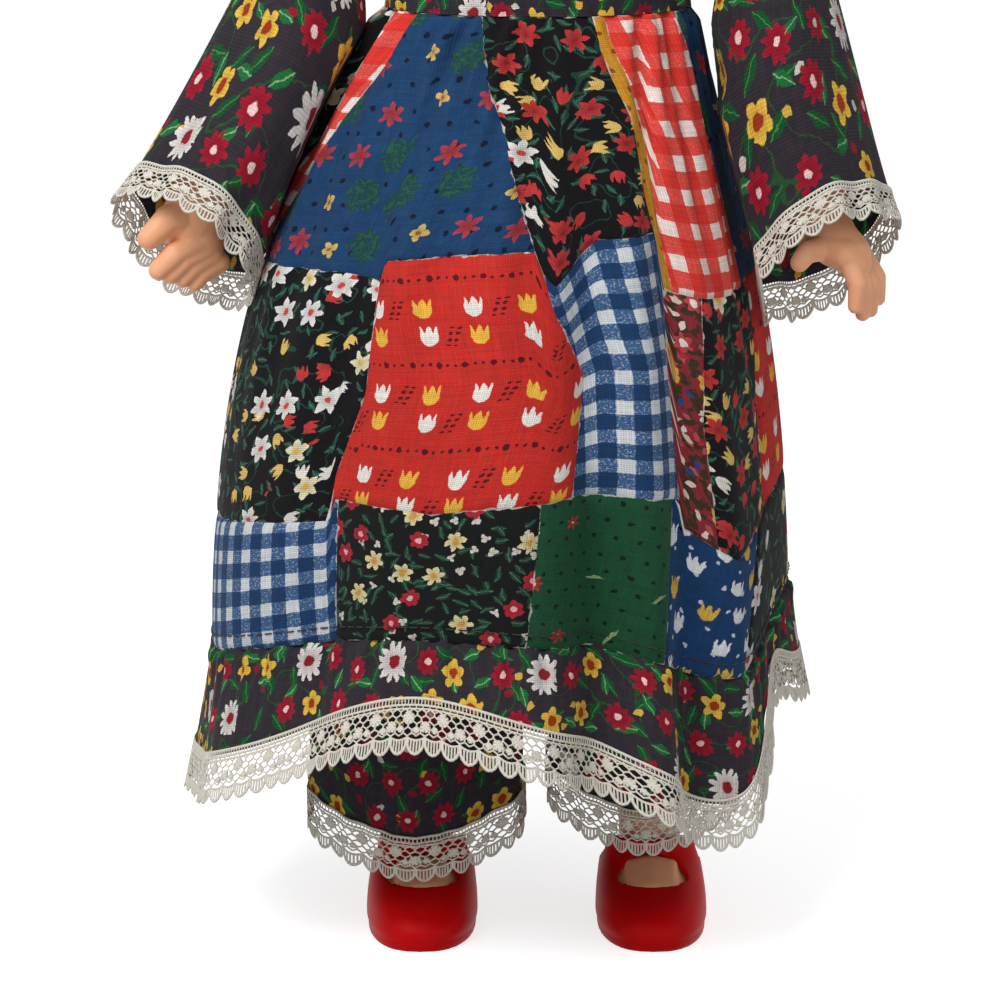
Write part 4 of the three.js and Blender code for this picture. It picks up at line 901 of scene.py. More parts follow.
# %% One repeat of the lace
CORDS = [(0.02, 0.75), (0.14, 0.6), (0.205, 0.5)]
LADDERS = [(10, 0.02, 0.14, 0.36), (5, 0.14, 0.205, 0.34)]
SPRIGS = [((0.5, 0.36), 8, 0.115), ((0.0, 0.52), 7, 0.1), ((0.28, 0.56), 5, 0.06), ((0.75, 0.58), 5, 0.06)]
SCALLOP_EDGES = [(0.71, 0.05, 1.0, 0.6), (0.81, 0.19, 0.7, 0.8)]


def lace_repeat():
    """Threads of one repeat: (points as shares across and down, width in mm)."""
    threads = []
    across = np.linspace(0, 1, 9)
    for depth, width in CORDS:
        threads.append((np.stack([across, np.full(9, depth)], 1), width))
    for count, high, low, width in LADDERS:
        for bar in (np.arange(count) + 0.5) / count:
            threads.append((np.array([[bar, high], [bar, low]]), width))
    for step in range(5):
        middle = 0.235 + 0.105 * step
        zigzag = middle + 0.026 * np.where(np.arange(9) % 2 == step % 2, 1, -1)
        threads.append((np.stack([across, zigzag], 1), 0.5))
        for bar in np.arange(8):
            if bar % 2 == step % 2 and step < 4:
                threads.append((np.array([[bar / 8, middle + 0.02], [bar / 8, middle + 0.085]]), 0.5))
    for centre, count, reach in SPRIGS:
        for petal in range(count):
            turn = 2 * math.pi * petal / count + 0.3
            tip = (centre[0] + 1.45 * reach * math.cos(turn), centre[1] + reach * math.sin(turn))
            threads.append((np.array([centre, tip]), 1.0))
    part = np.linspace(0, 1, 7)
    for scallop in (0, 1):
        for high, deep, curve, width in SCALLOP_EDGES:
            arc = high + deep * np.sin(math.pi * part) ** curve
            threads.append((np.stack([(scallop + part) / 2, arc], 1), width))
        for rib in np.linspace(0.08, 0.92, 6):
            arch = math.sin(math.pi * rib)
            ends = [high + deep * arch**curve for high, deep, curve, _ in SCALLOP_EDGES]
            threads.append((np.array([[(scallop + rib) / 2, end] for end in ends]), 0.55))
        threads.append((np.array([[scallop / 2, 0.66], [scallop / 2, 0.83]]), 0.75))
    return threads


LACE_THREADS = lace_repeat()
print("lace repeat:", len(LACE_THREADS), "threads")


# %% Lay the lace along a strip
THREAD_THICK = 0.42


def unit(vectors):
    return vectors / np.linalg.norm(vectors, axis=-1, keepdims=True)


def thread_rim(middle, beside, up):
    """Four points round each point of a thread."""
    return np.stack([middle + beside, middle + up, middle - beside, middle - up], 2)


def tube_faces(index):
    """Quads round tubes, from point numbers laid out as (..., along, round)."""
    following = np.roll(index, -1, axis=-1)
    corners = [index[..., :-1, :], index[..., 1:, :], following[..., 1:, :], following[..., :-1, :]]
    return np.stack(corners, -1).reshape(-1, 4)


def lace_along(name, strip, repeats, body, material):
    """strip(share round, share down) gives points in mm; the lace is laid on its outer side."""
    points, faces, count = [], [], 0
    tiles = np.arange(repeats)[:, None]
    for line, width in LACE_THREADS:
        around = (tiles + line[None, :, 0]) / repeats
        depth = np.broadcast_to(line[None, :, 1], around.shape)
        middle = strip(around, depth)
        side_step = strip(around + 1e-4, depth) - strip(around - 1e-4, depth)
        down_step = strip(around, depth + 1e-3) - strip(around, depth - 1e-3)
        normal = unit(np.cross(side_step, down_step))
        beside = unit(np.cross(np.gradient(middle, axis=1), normal))
        rim = thread_rim(middle, beside * width / 2, normal * THREAD_THICK / 2)
        faces.append(tube_faces(np.arange(count, count + rim.size // 3).reshape(rim.shape[:3])))
        points.append(rim.reshape(-1, 3))
        count += rim.size // 3
    return piece_from(name, np.concatenate(points), np.concatenate(faces), body, [material])


# %% Lace thread finish
def millimetres(bench):
    """Where a point lies on its piece, in mm."""
    return bench.scaled(bench.add("ShaderNodeTexCoord").outputs["Object"], 1000.0)


def lace_thread():
    material, bench, shader = new_finish("cotton_lace")
    where = millimetres(bench)
    twist = bench.noise(where, 3.0, 2)
    aged = bench.times(bench.noise(where, 0.05, 2), 0.5)
    colour = bench.paint(twist, dye("d2cdc1"), dye("ebe7dc"))
    bench.feed(shader.inputs["Base Color"], bench.paint(aged, colour, dye("d3cab8")))
    bench.feed(shader.inputs["Roughness"], bench.math("MULTIPLY_ADD", twist, 0.2, 0.72))
    shader.inputs["Sheen Weight"].default_value = 0.1
    bench.bump(shader, twist, 0.4, 0.2)
    print("lace finish", len(material.node_tree.nodes), "nodes")
    return material


lace_cotton = lace_thread()


# %% Hem lace
LACE_LAP, HEM_REPEATS = 1.2, 58


def hem_strip(around, depth):
    angle = around * 2 * math.pi
    below = ruffle_length(angle) - LACE_LAP + depth * (LACE_DROP + LACE_LAP)
    return ruffle_point(angle, below, 0.45 + 0.35 * np.sin(40 * angle) * depth)


hem_lace = lace_along("hem_lace_trim", hem_strip, HEM_REPEATS, "torso", lace_cotton)
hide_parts("hem_lace")

# %% [markdown]
# ## Sleeves
# Each sleeve is a tube of calico set into the armhole, narrow at the elbow and belled at the cuff. It follows
# the arm's own line, so that line is drawn first: a smooth curve through the shoulder, elbow, cuff and wrist.
# The cuff is cut on a slant, higher in front and outside, and the cloth bags a little towards the skirt. A cloth
# can't pass through what it lies on, so one rule holds each point of the sleeve off the skirt beside it, off the
# skirt that it swings past, and off the head when the arm is raised.

# %% Lines and forms
def smooth_line(points):
    """A curve through points, paced by the root of the distance between them."""
    points = np.asarray(points, float)
    ends = np.concatenate([[2 * points[0] - points[1]], points, [2 * points[-1] - points[-2]]])

    def at(share):
        along = np.clip(np.asarray(share, float), 0, 1) * (len(points) - 1)
        step = np.minimum(along.astype(int), len(points) - 2)
        part = (along - step)[..., None]
        p0, p1, p2, p3 = (ends[step + k] for k in range(4))
        g0, g1, g2 = (np.sum((b - a) ** 2, -1, keepdims=True) ** 0.25 for a, b in ((p0, p1), (p1, p2), (p2, p3)))
        t1 = ((p1 - p0) / g0 - (p2 - p0) / (g0 + g1) + (p2 - p1) / g1) * g1
        t2 = ((p2 - p1) / g1 - (p3 - p1) / (g1 + g2) + (p3 - p2) / g2) * g1
        return p1 + t1 * part + (3 * p2 - 3 * p1 - 2 * t1 - t2) * part**2 + (2 * p1 - 2 * p2 + t1 + t2) * part**3

    return at


def form_sizes(stations):
    """Half width and half depth at any height, through stations of (half width, half depth, height)."""
    samples = smooth_line(stations)(np.linspace(0, 1, 600))
    return lambda z: (np.interp(z, samples[:, 2], samples[:, 0]), np.interp(z, samples[:, 2], samples[:, 1]))


SIDES = {"right": -1, "left": 1}
SHOULDER_X, SHOULDER_Z, CUFF_Z, CUFF_R, CUFF_SHARE = 37.1, 282, 191, 17.5, 0.8
SLEEVE_FOLD, CUFF_GAP, CUFF_TO_WRIST = 0.9, 1.5, 6


def arm_points(side):
    """Shoulder, upper and lower arm, elbow, cuff and wrist; the cuff hangs just clear of the skirt."""
    ring = np.linspace(-math.pi, math.pi, 721)
    cuff_fall = (SKIRT_TOP - CUFF_Z) / (SKIRT_TOP - SEAM_HEIGHT)
    smooth_side = skirt_point(ring, cuff_fall)[:, 0] - gathers(ring, cuff_fall) * np.sin(ring)
    skirt_edge = np.max(side * smooth_side)
    cuff = np.array([side * (skirt_edge + CUFF_GAP + CUFF_R + SLEEVE_FOLD), -12, CUFF_Z])
    elbow = np.array([side * (SHOULDER_X + 24.5), -4, SHOULDER_Z - 42])
    wrist = cuff + CUFF_TO_WRIST * (cuff - elbow) / np.linalg.norm(cuff - elbow)
    shoulder = [side * (SHOULDER_X + 0.4), 0, SHOULDER_Z]
    upper = [side * (SHOULDER_X + 13), 0, SHOULDER_Z - 1.7]
    lower = [side * (SHOULDER_X + 22.5), -1, SHOULDER_Z - 20.2]
    return np.array([shoulder, upper, lower, elbow, cuff, wrist])


ARM_LINES = {name: smooth_line(arm_points(side)) for name, side in SIDES.items()}
print("left cuff at", ARM_LINES["left"](np.array(CUFF_SHARE)).round(1))

# %% What the sleeves lie against
SKIRT_PRESS, ARM_RAISED = 2.0, math.radians(165)
HEAD_ROOM = np.array([
    (312, 34), (319, 38.5), (331, 43.8), (338, 45.7), (344, 47),
    (350, 45.6), (357, 45.2), (375, 43.6), (392, 38), (404, 20),
])


def skirt_side(side):
    """Heights and half widths of the skirt's side where it is widest."""
    ring = np.linspace(-math.pi, math.pi, 721)
    rows = [skirt_point(ring, fall, PATCH_PILLOW) for fall in np.linspace(0.6, 0, 120)]
    widest = [row[np.argmax(side * row[:, 0])] for row in rows]
    return [p[2] for p in widest] + [SKIRT_TOP + 4], [side * p[0] for p in widest] + [0]


SKIRT_SIDES = {name: skirt_side(side) for name, side in SIDES.items()}
print("skirt's half width low on the left", round(SKIRT_SIDES["left"][1][0], 1), "mm")


def least_out(name, point):
    """How far out each point of a sleeve must stay, in mm from the middle of the doll."""
    side = SIDES[name]
    rise = point[..., 2] - SHOULDER_Z
    raised_y = point[..., 1] * math.cos(ARM_RAISED) + rise * math.sin(ARM_RAISED)
    raised_z = SHOULDER_Z - point[..., 1] * math.sin(ARM_RAISED) + rise * math.cos(ARM_RAISED)
    head = np.sqrt(np.maximum(np.interp(raised_z, *HEAD_ROOM.T, 0, 0) ** 2 - raised_y**2, 0))
    lowest = SHOULDER_Z - np.hypot(point[..., 1], rise)
    past = np.interp(lowest, *SKIRT_SIDES[name]) - SKIRT_PRESS
    angle, fall = np.full(point.shape[:-1], side * math.pi / 2), np.zeros(point.shape[:-1])
    for _ in range(12):
        near = skirt_point(angle, fall, PATCH_PILLOW)
        fall = np.clip(fall + (near[..., 2] - point[..., 2]) / (SKIRT_TOP - SEAM_HEIGHT), 0, 0.7)
        angle = angle - side * np.clip((near[..., 1] - point[..., 1]) / 80, -0.3, 0.3)
        angle = side * np.clip(side * angle, 0.6, 2.4)
    beside = side * skirt_point(angle, fall, PATCH_PILLOW)[..., 0]
    beside = np.where(point[..., 2] < SKIRT_TOP, beside, 0)
    return np.maximum(np.maximum(beside, past), head)


# %% Sleeve surface
SLEEVE_SHARES, SLEEVE_RADII = [0, 0.25, 0.5, 0.75, 1], [17, 17, 13.2, 13.4, CUFF_R]
BAG, BAG_AT, BAG_SPREAD, PUFF, PUFF_AT, PUFF_SPREAD = 9, 0.84, 0.16, 1.5, 0.8, 0.13
SLEEVE_SLANT = {"right": 0.2, "left": 0.36}
SLEEVE_DROP = {"right": 4.5, "left": 8.0}
BACK_SLANT, TUCK_IN, SLEEVE_ROOM = 0.5, 55, 0.9


def sleeve_point(name, turn, share, out=0.0, beyond=0.0):
    """Points on the sleeve: turn round it, share from armhole to cuff, and mm beyond the cuff."""
    line, side = ARM_LINES[name], SIDES[name]
    tuck = np.clip(-share, 0, 1)
    share = np.clip(share, 0.0, 1.0)
    middle = line(CUFF_SHARE * share)
    ahead = line(np.minimum(CUFF_SHARE * share + 1e-3, 1)) - line(np.maximum(CUFF_SHARE * share - 1e-3, 0))
    ahead = unit(np.where(share[..., None] < 1e-6, np.array([side, 0.0, 0.0]), ahead))
    inward = unit(np.stack([ahead[..., 2], 0 * share, -ahead[..., 0]], -1))
    across = np.cross(ahead, inward)
    radius = np.interp(share, SLEEVE_SHARES, SLEEVE_RADII)
    to_body, to_back = side * np.sin(turn), np.sum(across * np.array([0, 1.0, 0]), -1) * np.cos(turn)
    bag = BAG * np.exp(-(((share - BAG_AT) / BAG_SPREAD) ** 2))
    bag = bag * np.clip(0.82 * to_body - 0.57 * to_back, 0, 1) ** 1.3
    puff = PUFF * np.exp(-(((share - PUFF_AT) / PUFF_SPREAD) ** 2)) * (0.6 + 0.4 * np.cos(3 * turn + 1))
    puff = puff * (1 - 1.6 * np.clip(to_body, 0, 1))
    gathered = 0.5 * np.cos(20 * turn + 2 * np.sin(3 * turn)) * np.exp(-share / 0.12)
    crease = 0.55 * np.sin(16 * share + 2.2 * np.sin(turn + 0.5)) * np.exp(-(((share - 0.5) / 0.2) ** 2))
    fold = SLEEVE_FOLD * share * np.cos(4 * turn) + 0.45 * share**3 * np.cos(9 * turn + 1.3)
    reach = radius + fold + bag + puff + (gathered + crease) * np.clip(share / 0.04, 0, 1) + out - TUCK_IN * tuck
    slant = SLEEVE_DROP[name] + (SLEEVE_SLANT[name] * to_body + BACK_SLANT * to_back) * reach
    slant = slant * np.clip((share - 0.45) / 0.55, 0, 1) ** 2
    spokes = across * np.cos(turn)[..., None] + inward * np.sin(turn)[..., None]
    point = middle + spokes * reach[..., None] + ahead * (slant + beyond)[..., None]
    room = least_out(name, point) + SLEEVE_ROOM - np.clip(out, 0, 0.4)
    point[..., 0] = side * np.maximum(side * point[..., 0], room)
    return point


# %% Sew the sleeves and their cuffs
SLEEVE_AROUND, SLEEVE_ALONG, CUFF_LACE, CUFF_REPEATS = 130, 90, 9, 13
SLEEVE_CLOTH_RADIUS, SLEEVE_CLOTH_LENGTH = 18, 128
sleeves, cuff_laces = {}, {}
sleeve_shares, sleeve_turns = np.linspace(-0.05, 1, SLEEVE_ALONG), np.linspace(0, 2 * math.pi, SLEEVE_AROUND)
for name in SIDES:
    share, turn = np.meshgrid(sleeve_shares, sleeve_turns, indexing="ij")
    sleeve = piece_from(
        f"{name}_bell_sleeve", sleeve_point(name, turn, share), grid_faces(SLEEVE_ALONG, SLEEVE_AROUND),
        f"{name}_arm", [dark_calico],
        flat_cloth(turn * SLEEVE_CLOTH_RADIUS + 31 * SIDES[name], share * SLEEVE_CLOTH_LENGTH),
    )
    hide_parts(f"{name}_sleeve")
    sleeves[name] = sleeve

    def cuff_strip(around, depth):
        turn = around * 2 * math.pi
        flare = 0.35 + depth * (1.2 + 0.9 * np.cos(11 * turn + 0.7))
        return sleeve_point(name, turn, np.ones_like(turn), flare, depth * (CUFF_LACE + 1) - 1)

    trim = lace_along(f"{name}_cuff_lace_trim", cuff_strip, CUFF_REPEATS, f"{name}_arm", lace_cotton)
    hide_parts(f"{name}_cuff_lace")
    cuff_laces[name] = trim

# %% [markdown]
# ## Bloomers
# Under the skirt the doll wears wide bloomers of the same calico. The seat is one piece round the hips with an
# elastic in its top edge, and each leg hangs as a wide tube that follows the leg, with a dipping lace hem.

# %% Bloomer legs
HIP_Z, LEG_X, LEG_LENGTH = 182, 30, 178.6
LEG_STATIONS = np.array([
    (0.02, 29.9, 0, 15.5, 19), (0.22, 29.9, 0, 15.5, 19), (0.48, 29.95, 0, 13.5, 14.5),
    (0.64, 30, 3, 13.5, 15), (0.82, 30, 3, 8.8, 10.5), (0.93, 30, 3, 7.8, 9.5),
])
BLOOMER_TOP, BLOOMER_DEPTH, BLOOMER_LACE, BLOOMER_STAND = HIP_Z - 34, 24, 11, 1.7
BLOOMER_MIDDLE = {"right": LEG_X + 1.5, "left": LEG_X - 2}
BLOOMER_HEM = {"right": 24, "left": 31}


def leg_size(z):
    """The leg's middle, x and y, and its half width and half depth at a height."""
    share = (HIP_Z - z) / LEG_LENGTH
    return [np.interp(share, LEG_STATIONS[:, 0], LEG_STATIONS[:, k]) for k in (1, 2, 3, 4)]


def bloomer_point(name, turn, share, below=0.0, out=0.0):
    """Points on a bloomer leg: turn round it, share from thigh to hem, and mm below the hem."""
    side, middle = SIDES[name], BLOOMER_MIDDLE[name]
    thigh_x, thigh_y, thigh_w, thigh_d = leg_size(BLOOMER_TOP)
    spread = np.minimum(1, 1.25 * share) ** 0.8
    fold = share * np.cos(6 * turn) + 0.5 * share * np.cos(11 * turn + 0.8) + out
    fold = fold + 0.35 * np.cos(26 * turn + 2 * np.sin(3 * turn)) * np.exp(-(1 - share) / 0.1)
    width = thigh_w + BLOOMER_STAND + (middle - 3 - thigh_w - BLOOMER_STAND) * spread + fold
    deep = thigh_d + BLOOMER_STAND + (BLOOMER_DEPTH - thigh_d - BLOOMER_STAND) * spread + fold
    hem = BLOOMER_HEM[name] - 8 * ((1 + np.cos(turn)) / 2) ** 1.5 + BLOOMER_LACE + 5.5 * np.sin(turn) ** 2
    x = side * (thigh_x + (middle - thigh_x) * spread) + width * np.sin(turn)
    y = thigh_y * (1 - spread) - deep * np.cos(turn)
    return np.stack([x, y, BLOOMER_TOP + (hem - BLOOMER_TOP) * share - below], -1)


BLOOMER_ALONG, BLOOMER_AROUND, BLOOMER_REPEATS = 84, 170, 18
BLOOMER_CLOTH_RADIUS, BLOOMER_CLOTH_LENGTH = 31, 126
bloomer_legs, bloomer_laces = {}, {}
bloomer_turns = np.linspace(-math.pi, math.pi, BLOOMER_AROUND)
for name in SIDES:
    share, turn = np.meshgrid(np.linspace(0, 1, BLOOMER_ALONG), bloomer_turns, indexing="ij")
    leg_cloth = piece_from(
        f"{name}_bloomer_cloth", bloomer_point(name, turn, share), grid_faces(BLOOMER_ALONG, BLOOMER_AROUND),
        f"{name}_leg", [dark_calico],
        flat_cloth(turn * BLOOMER_CLOTH_RADIUS + 40 * SIDES[name], share * BLOOMER_CLOTH_LENGTH),
    )
    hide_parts(f"{name}_bloomer_leg")
    bloomer_legs[name] = leg_cloth

    def bloomer_strip(around, depth):
        turn = around * 2 * math.pi
        flutter = 0.45 + 0.3 * depth * np.sin(17 * turn)
        return bloomer_point(name, turn, np.ones_like(turn), depth * (BLOOMER_LACE + 1) - 1, flutter)

    trim = lace_along(f"{name}_bloomer_lace_trim", bloomer_strip, BLOOMER_REPEATS, f"{name}_leg", lace_cotton)
    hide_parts(f"{name}_bloomer_lace")
    bloomer_laces[name] = trim

# %% Bloomer seat
torso_size = form_sizes([
    (6.5, 9.8, 158), (30, 22.4, 170), (40, 28, 191), (40, 31, 212),
    (37, 29, 240), (35.5, 28, 266), (30, 19, 296), (16, 16, 304),
])
SEAT_TOP, SEAT_END, SEAT_ROWS, SEAT_AROUND = HIP_Z + 27, 158, 44, 200
SEAT_RINGS = np.array([(209, 40.2, 31.4), (195.5, 45.9, 33), (177.2, 47.5, 33), (158, 49.9, 41)])
seat_turns = np.linspace(0, 2 * math.pi, SEAT_AROUND)
down, turn = np.meshgrid(np.linspace(0, 1, SEAT_ROWS), seat_turns, indexing="ij")
seat_z = SEAT_TOP + (SEAT_END - SEAT_TOP) * down
gather = 0.7 * np.cos(34 * turn + 2 * np.sin(4 * turn)) * np.exp(-down / 0.18) * np.clip(down / 0.03, 0.3, 1)
seat_w, seat_d = (np.interp(-seat_z, -SEAT_RINGS[:, 0], SEAT_RINGS[:, k]) + CLOTH + gather for k in (1, 2))
seat = piece_from(
    "bloomer_seat_cloth", np.stack([seat_w * np.sin(turn), seat_d * np.cos(turn), seat_z], -1),
    grid_faces(SEAT_ROWS, SEAT_AROUND)[:, ::-1], "torso", [dark_calico], flat_cloth(turn * 41, down * 52),
)
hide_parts("bloomer_seat")

# %% [markdown]
# ## Bodice
# The bodice fits the torso closely and is cut away in round armholes. Its section at each height is the torso's
# own oval joined to the barrel of the shoulders, so the sleeve heads have something to sit on. A lace frill lies
# round its neckline, and a doubled strip, the placket, closes its back over two snaps.

# %% Bodice cloth
WAIST_Z, NECKLINE_Z, ARMHOLE_X, ARMHOLE_R, BODICE_STAND = 240, 301, 37.2, 17, 1.7
BODICE_ROWS, BODICE_AROUND, BODICE_RADIUS = 70, 220, 37


def bodice_point(turn, z, out=0.0):
    """Points on the bodice, by the turn from the front and the height."""
    width, depth = torso_size(z)
    oval = 1 / np.hypot(np.sin(turn) / (width + BODICE_STAND), np.cos(turn) / (depth + BODICE_STAND))
    barrel = np.sqrt(np.maximum(ARMHOLE_R**2 - (z - SHOULDER_Z) ** 2, 1e-3))
    block = 1 / (np.abs(np.sin(turn) / ARMHOLE_X) ** 10 + np.abs(np.cos(turn) / barrel) ** 10) ** 0.1
    reach = (oval**9 + block**9) ** (1 / 9) * 0.995 + out
    return np.stack([reach * np.sin(turn), -reach * np.cos(turn), z + 0 * turn], -1)


bodice_turns = np.linspace(-math.pi, math.pi, BODICE_AROUND)
down, turn = np.meshgrid(np.linspace(0, 1, BODICE_ROWS), bodice_turns, indexing="ij")
bodice_z = NECKLINE_Z + (WAIST_Z - 0.2 - NECKLINE_Z) * down
ease = 0.45 * np.cos(30 * turn + 2 * np.sin(3 * turn)) * np.exp(-(1 - down) / 0.12)
bodice = piece_from(
    "calico_bodice", bodice_point(turn, bodice_z, ease), grid_faces(BODICE_ROWS, BODICE_AROUND), "torso",
    [dark_calico], flat_cloth(turn * BODICE_RADIUS, -bodice_z),
)
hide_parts("bodice")


# %% Collar lace
COLLAR_REACH, COLLAR_REPEATS = 7.4, 16


def collar_strip(around, depth):
    turn = around * 2 * math.pi
    width, depth_half = torso_size(NECKLINE_Z)
    out = 0.5 + COLLAR_REACH * depth
    z = NECKLINE_Z + 0.9 + 1.5 * depth + 0.7 * depth * np.cos(13 * turn)
    return np.stack([(width + out) * np.sin(turn), -(depth_half + out) * np.cos(turn), z], -1)


collar = lace_along("collar_lace_trim", collar_strip, COLLAR_REPEATS, "torso", lace_cotton)
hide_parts("collar_lace")

# %% Back placket
PLACKET_TOP, PLACKET_END, PLACKET_LEAN, PLACKET_THICK = 297, 244, math.radians(10), 1.1
PLACKET_ROWS, PLACKET_ACROSS, PLACKET_STAND, SNAP_STAND = 60, 18, 3.1, 2.3
down, over = np.meshgrid(np.linspace(0, 1, PLACKET_ROWS), np.linspace(-1, 1, PLACKET_ACROSS), indexing="ij")
placket_z = PLACKET_TOP + (PLACKET_END - PLACKET_TOP) * down
placket_w, placket_d = torso_size(placket_z)
over_snaps = np.clip((placket_z - 243.6) / 2.4, 0, 1) * np.clip((276 - placket_z) / 15, 0, 1)
over_snaps = over_snaps * np.clip((1.08 - np.abs(over)) / 0.36, 0, 1)
over_snaps = over_snaps**2 * (3 - 2 * over_snaps)
hem_groove = 0.2 * np.exp(-(((np.abs(over) - 0.8) / 0.06) ** 2))
stand = PLACKET_STAND + SNAP_STAND * over_snaps - hem_groove
lean = PLACKET_LEAN * over
placket = piece_from(
    "back_placket_cloth",
    np.stack([(placket_w + stand) * np.sin(lean), (placket_d + stand) * np.cos(lean), placket_z], -1),
    grid_faces(PLACKET_ROWS, PLACKET_ACROSS)[:, ::-1], "torso", [dark_calico],
    flat_cloth(over * 5.2 + 9, -placket_z),
)
thicken = placket.modifiers.new("turned edge", "SOLIDIFY")
thicken.thickness = PLACKET_THICK * 0.001
thicken.offset = -1
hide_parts("back_placket")

# %% [markdown]
# ## Soft vinyl
# The hands, legs and head are moulded in soft vinyl: a peach colour with a faint blotch, a satin skin and the
# finest pebble from the mould. A shape like a hand is quickest to model by fusing simple rods and balls into one
# skin and relaxing it, which is what the remesh and smooth modifiers do here before the result is kept as a mesh.

# %% Vinyl finish
vinyl_skin, bench, given, made = new_group(
    "vinyl_skin", [("Where", None), ("Blotch", 0.06), ("Pebble", 1.6)], ["Tone", "Height", "Gloss"]
)
slow = bench.noise(given["Where"], 0.09, 3)
pebbles = bench.noise(given["Where"], given["Pebble"], 2)
bench.feed(made["Tone"], bench.math("MULTIPLY_ADD", slow, given["Blotch"], bench.times(pebbles, 0.02)))
bench.feed(made["Height"], pebbles)
bench.feed(made["Gloss"], bench.math("MULTIPLY_ADD", slow, 0.2, bench.times(pebbles, 0.08)))


def vinyl(name, light, dark, roughness, soft, paint_on=None, shine=0.4):
    """A moulded finish; soft is how much light sinks in, and paint_on may paint over it."""
    material, bench, shader = new_finish(name)
    where = millimetres(bench)
    skin = bench.group(vinyl_skin, Where=where, Blotch=1.4, Pebble=1.6)
    colour = bench.paint(bench.math("SUBTRACT", skin["Tone"], 0.2), dye(dark), dye(light))
    if paint_on:
        colour = paint_on(bench, where, colour)
    bench.feed(shader.inputs["Base Color"], colour)
    bench.feed(shader.inputs["Roughness"], bench.math("ADD", skin["Gloss"], roughness - 0.14))
    shader.inputs["Subsurface Weight"].default_value = soft
    shader.inputs["Subsurface Radius"].default_value = (0.002, 0.0009, 0.0006)
    shader.inputs["Specular IOR Level"].default_value = shine
    bench.bump(shader, skin["Height"], 0.12, 0.3)
    print("vinyl", name)
    return material


peach = vinyl("peach_vinyl", "fcbc90", "eea57a", 0.5, 0.12)
shoe_red = vinyl("shoe_vinyl", "d8050b", "c4040a", 0.45, 0.0, shine=0.1)


# %% Fusing rods, balls and lofts
def full_turn(count):
    """Angles once round, evenly spaced."""
    return np.arange(count) / count * 2 * math.pi


def loft_shape(rings):
    """A closed mesh through rings of equal count, as points and faces."""
    rings = np.asarray(rings, float)
    levels, count, _ = rings.shape
    index = np.arange(levels * count).reshape(levels, count)
    following = np.roll(index, -1, axis=1)
    sides = np.stack([index[:-1], following[:-1], following[1:], index[1:]], -1).reshape(-1, 4).tolist()
    return rings.reshape(-1, 3), sides + [index[0, ::-1].tolist(), index[-1].tolist()]


def ball_directions():
    shape = bmesh.new()
    bmesh.ops.create_icosphere(shape, subdivisions=3, radius=1)
    directions = np.array([v.co for v in shape.verts])
    shape.free()
    return directions


BALL = ball_directions()


def rod_shape(start, end):
    """The hull of two balls, each (x, y, z, radius)."""
    shape = bmesh.new()
    for x, y, z, radius in (start, end):
        for point in BALL * radius + np.array([x, y, z]):
            shape.verts.new(point)
    hull = bmesh.ops.convex_hull(shape, input=shape.verts)
    inside = [one for one in hull["geom_interior"] if isinstance(one, bmesh.types.BMVert)]
    bmesh.ops.delete(shape, geom=inside, context="VERTS")
    shape.verts.index_update()
    points = np.array([v.co for v in shape.verts])
    faces = [[v.index for v in face.verts] for face in shape.faces]
    shape.free()
    return points, faces


def plain_object(name, shape):
    """An object from points in mm and faces, before it has a finish."""
    mesh = bpy.data.meshes.new(name)
    mesh.from_pydata(place(shape[0]).tolist(), [], shape[1])
    made = bpy.data.objects.new(name, mesh)
    scene.collection.objects.link(made)
    return made


def keep_skin(piece, voxel, relax, material, body):
    """Remeshes a piece in cells of some mm, relaxes it, and keeps the result as its mesh, on a body."""
    join = piece.modifiers.new("fuse", "REMESH")
    join.mode = "VOXEL"
    join.voxel_size = voxel * 0.001
    soften = piece.modifiers.new("relax", "SMOOTH")
    soften.iterations = relax
    kept = bpy.data.meshes.new_from_object(piece.evaluated_get(bpy.context.evaluated_depsgraph_get()))
    piece.modifiers.clear()
    piece.data = kept
    kept.materials.clear()
    kept.materials.append(material)
    kept.shade_smooth()
    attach(piece, body)
    print(f"{piece.name}: {len(kept.vertices)} points on {body}")


def fuse(name, shapes, body, material, voxel, relax):
    """Several closed shapes as one smooth skin."""
    points, faces, count = [], [], 0
    for one_points, one_faces in shapes:
        points.append(one_points)
        faces += [[i + count for i in face] for face in one_faces]
        count += len(one_points)
    piece = plain_object(name, (np.concatenate(points), faces))
    keep_skin(piece, voxel, relax, material, body)
    return piece


# %% [markdown]
# ## Arms and hands
# Each arm is one moulding with its hand. The left hand hangs open with the thumb towards the body, and the right
# one is half closed. A finger is two rods with a bend at the knuckle.

# %% Hands
def run(*balls):
    """Rods from ball to ball."""
    return [rod_shape(a, b) for a, b in zip(balls[:-1], balls[1:])]


def left_hand(wrist):
    """An open hand below the wrist."""
    x, y, z = wrist
    shapes = run((x - 1, y + 1, z + 3, 7.2), (x + 3.5, y - 4, z - 3.5, 6.4), (x + 7, y - 6, z - 6, 5.4))
    shapes += run((x + 1, y - 6, z - 4, 4.2), (x + 5.5, y - 9, z - 5.5, 4.0), (x + 9, y - 7, z - 8, 3.6))
    for finger in range(4):
        side, length = 2.0 * finger, (0.84, 1.0, 0.96, 0.78)[finger]
        start = (x + 6.0 + 1.3 * finger, y - 9.4 + 1.15 * side, z - 6.6 + 0.3 * finger, 2.7)
        bend = (x + 8.8 + 1.8 * finger, y - 10.2 + 1.2 * side, z - 7 - 7.2 * length, 2.45)
        tip = (x + 8.4 + 2.1 * finger, y - 9.4 + 1.2 * side, z - 7 - 14.3 * length, 1.95)
        shapes += run(start, bend, tip)
    knuckle, tip = (x - 4.0, y - 10.5, z - 5.0, 2.9), (x - 6.0, y - 11.5, z - 7.6, 2.4)
    return shapes + run((x + 0.5, y - 7, z - 4.5, 3.2), knuckle, tip)


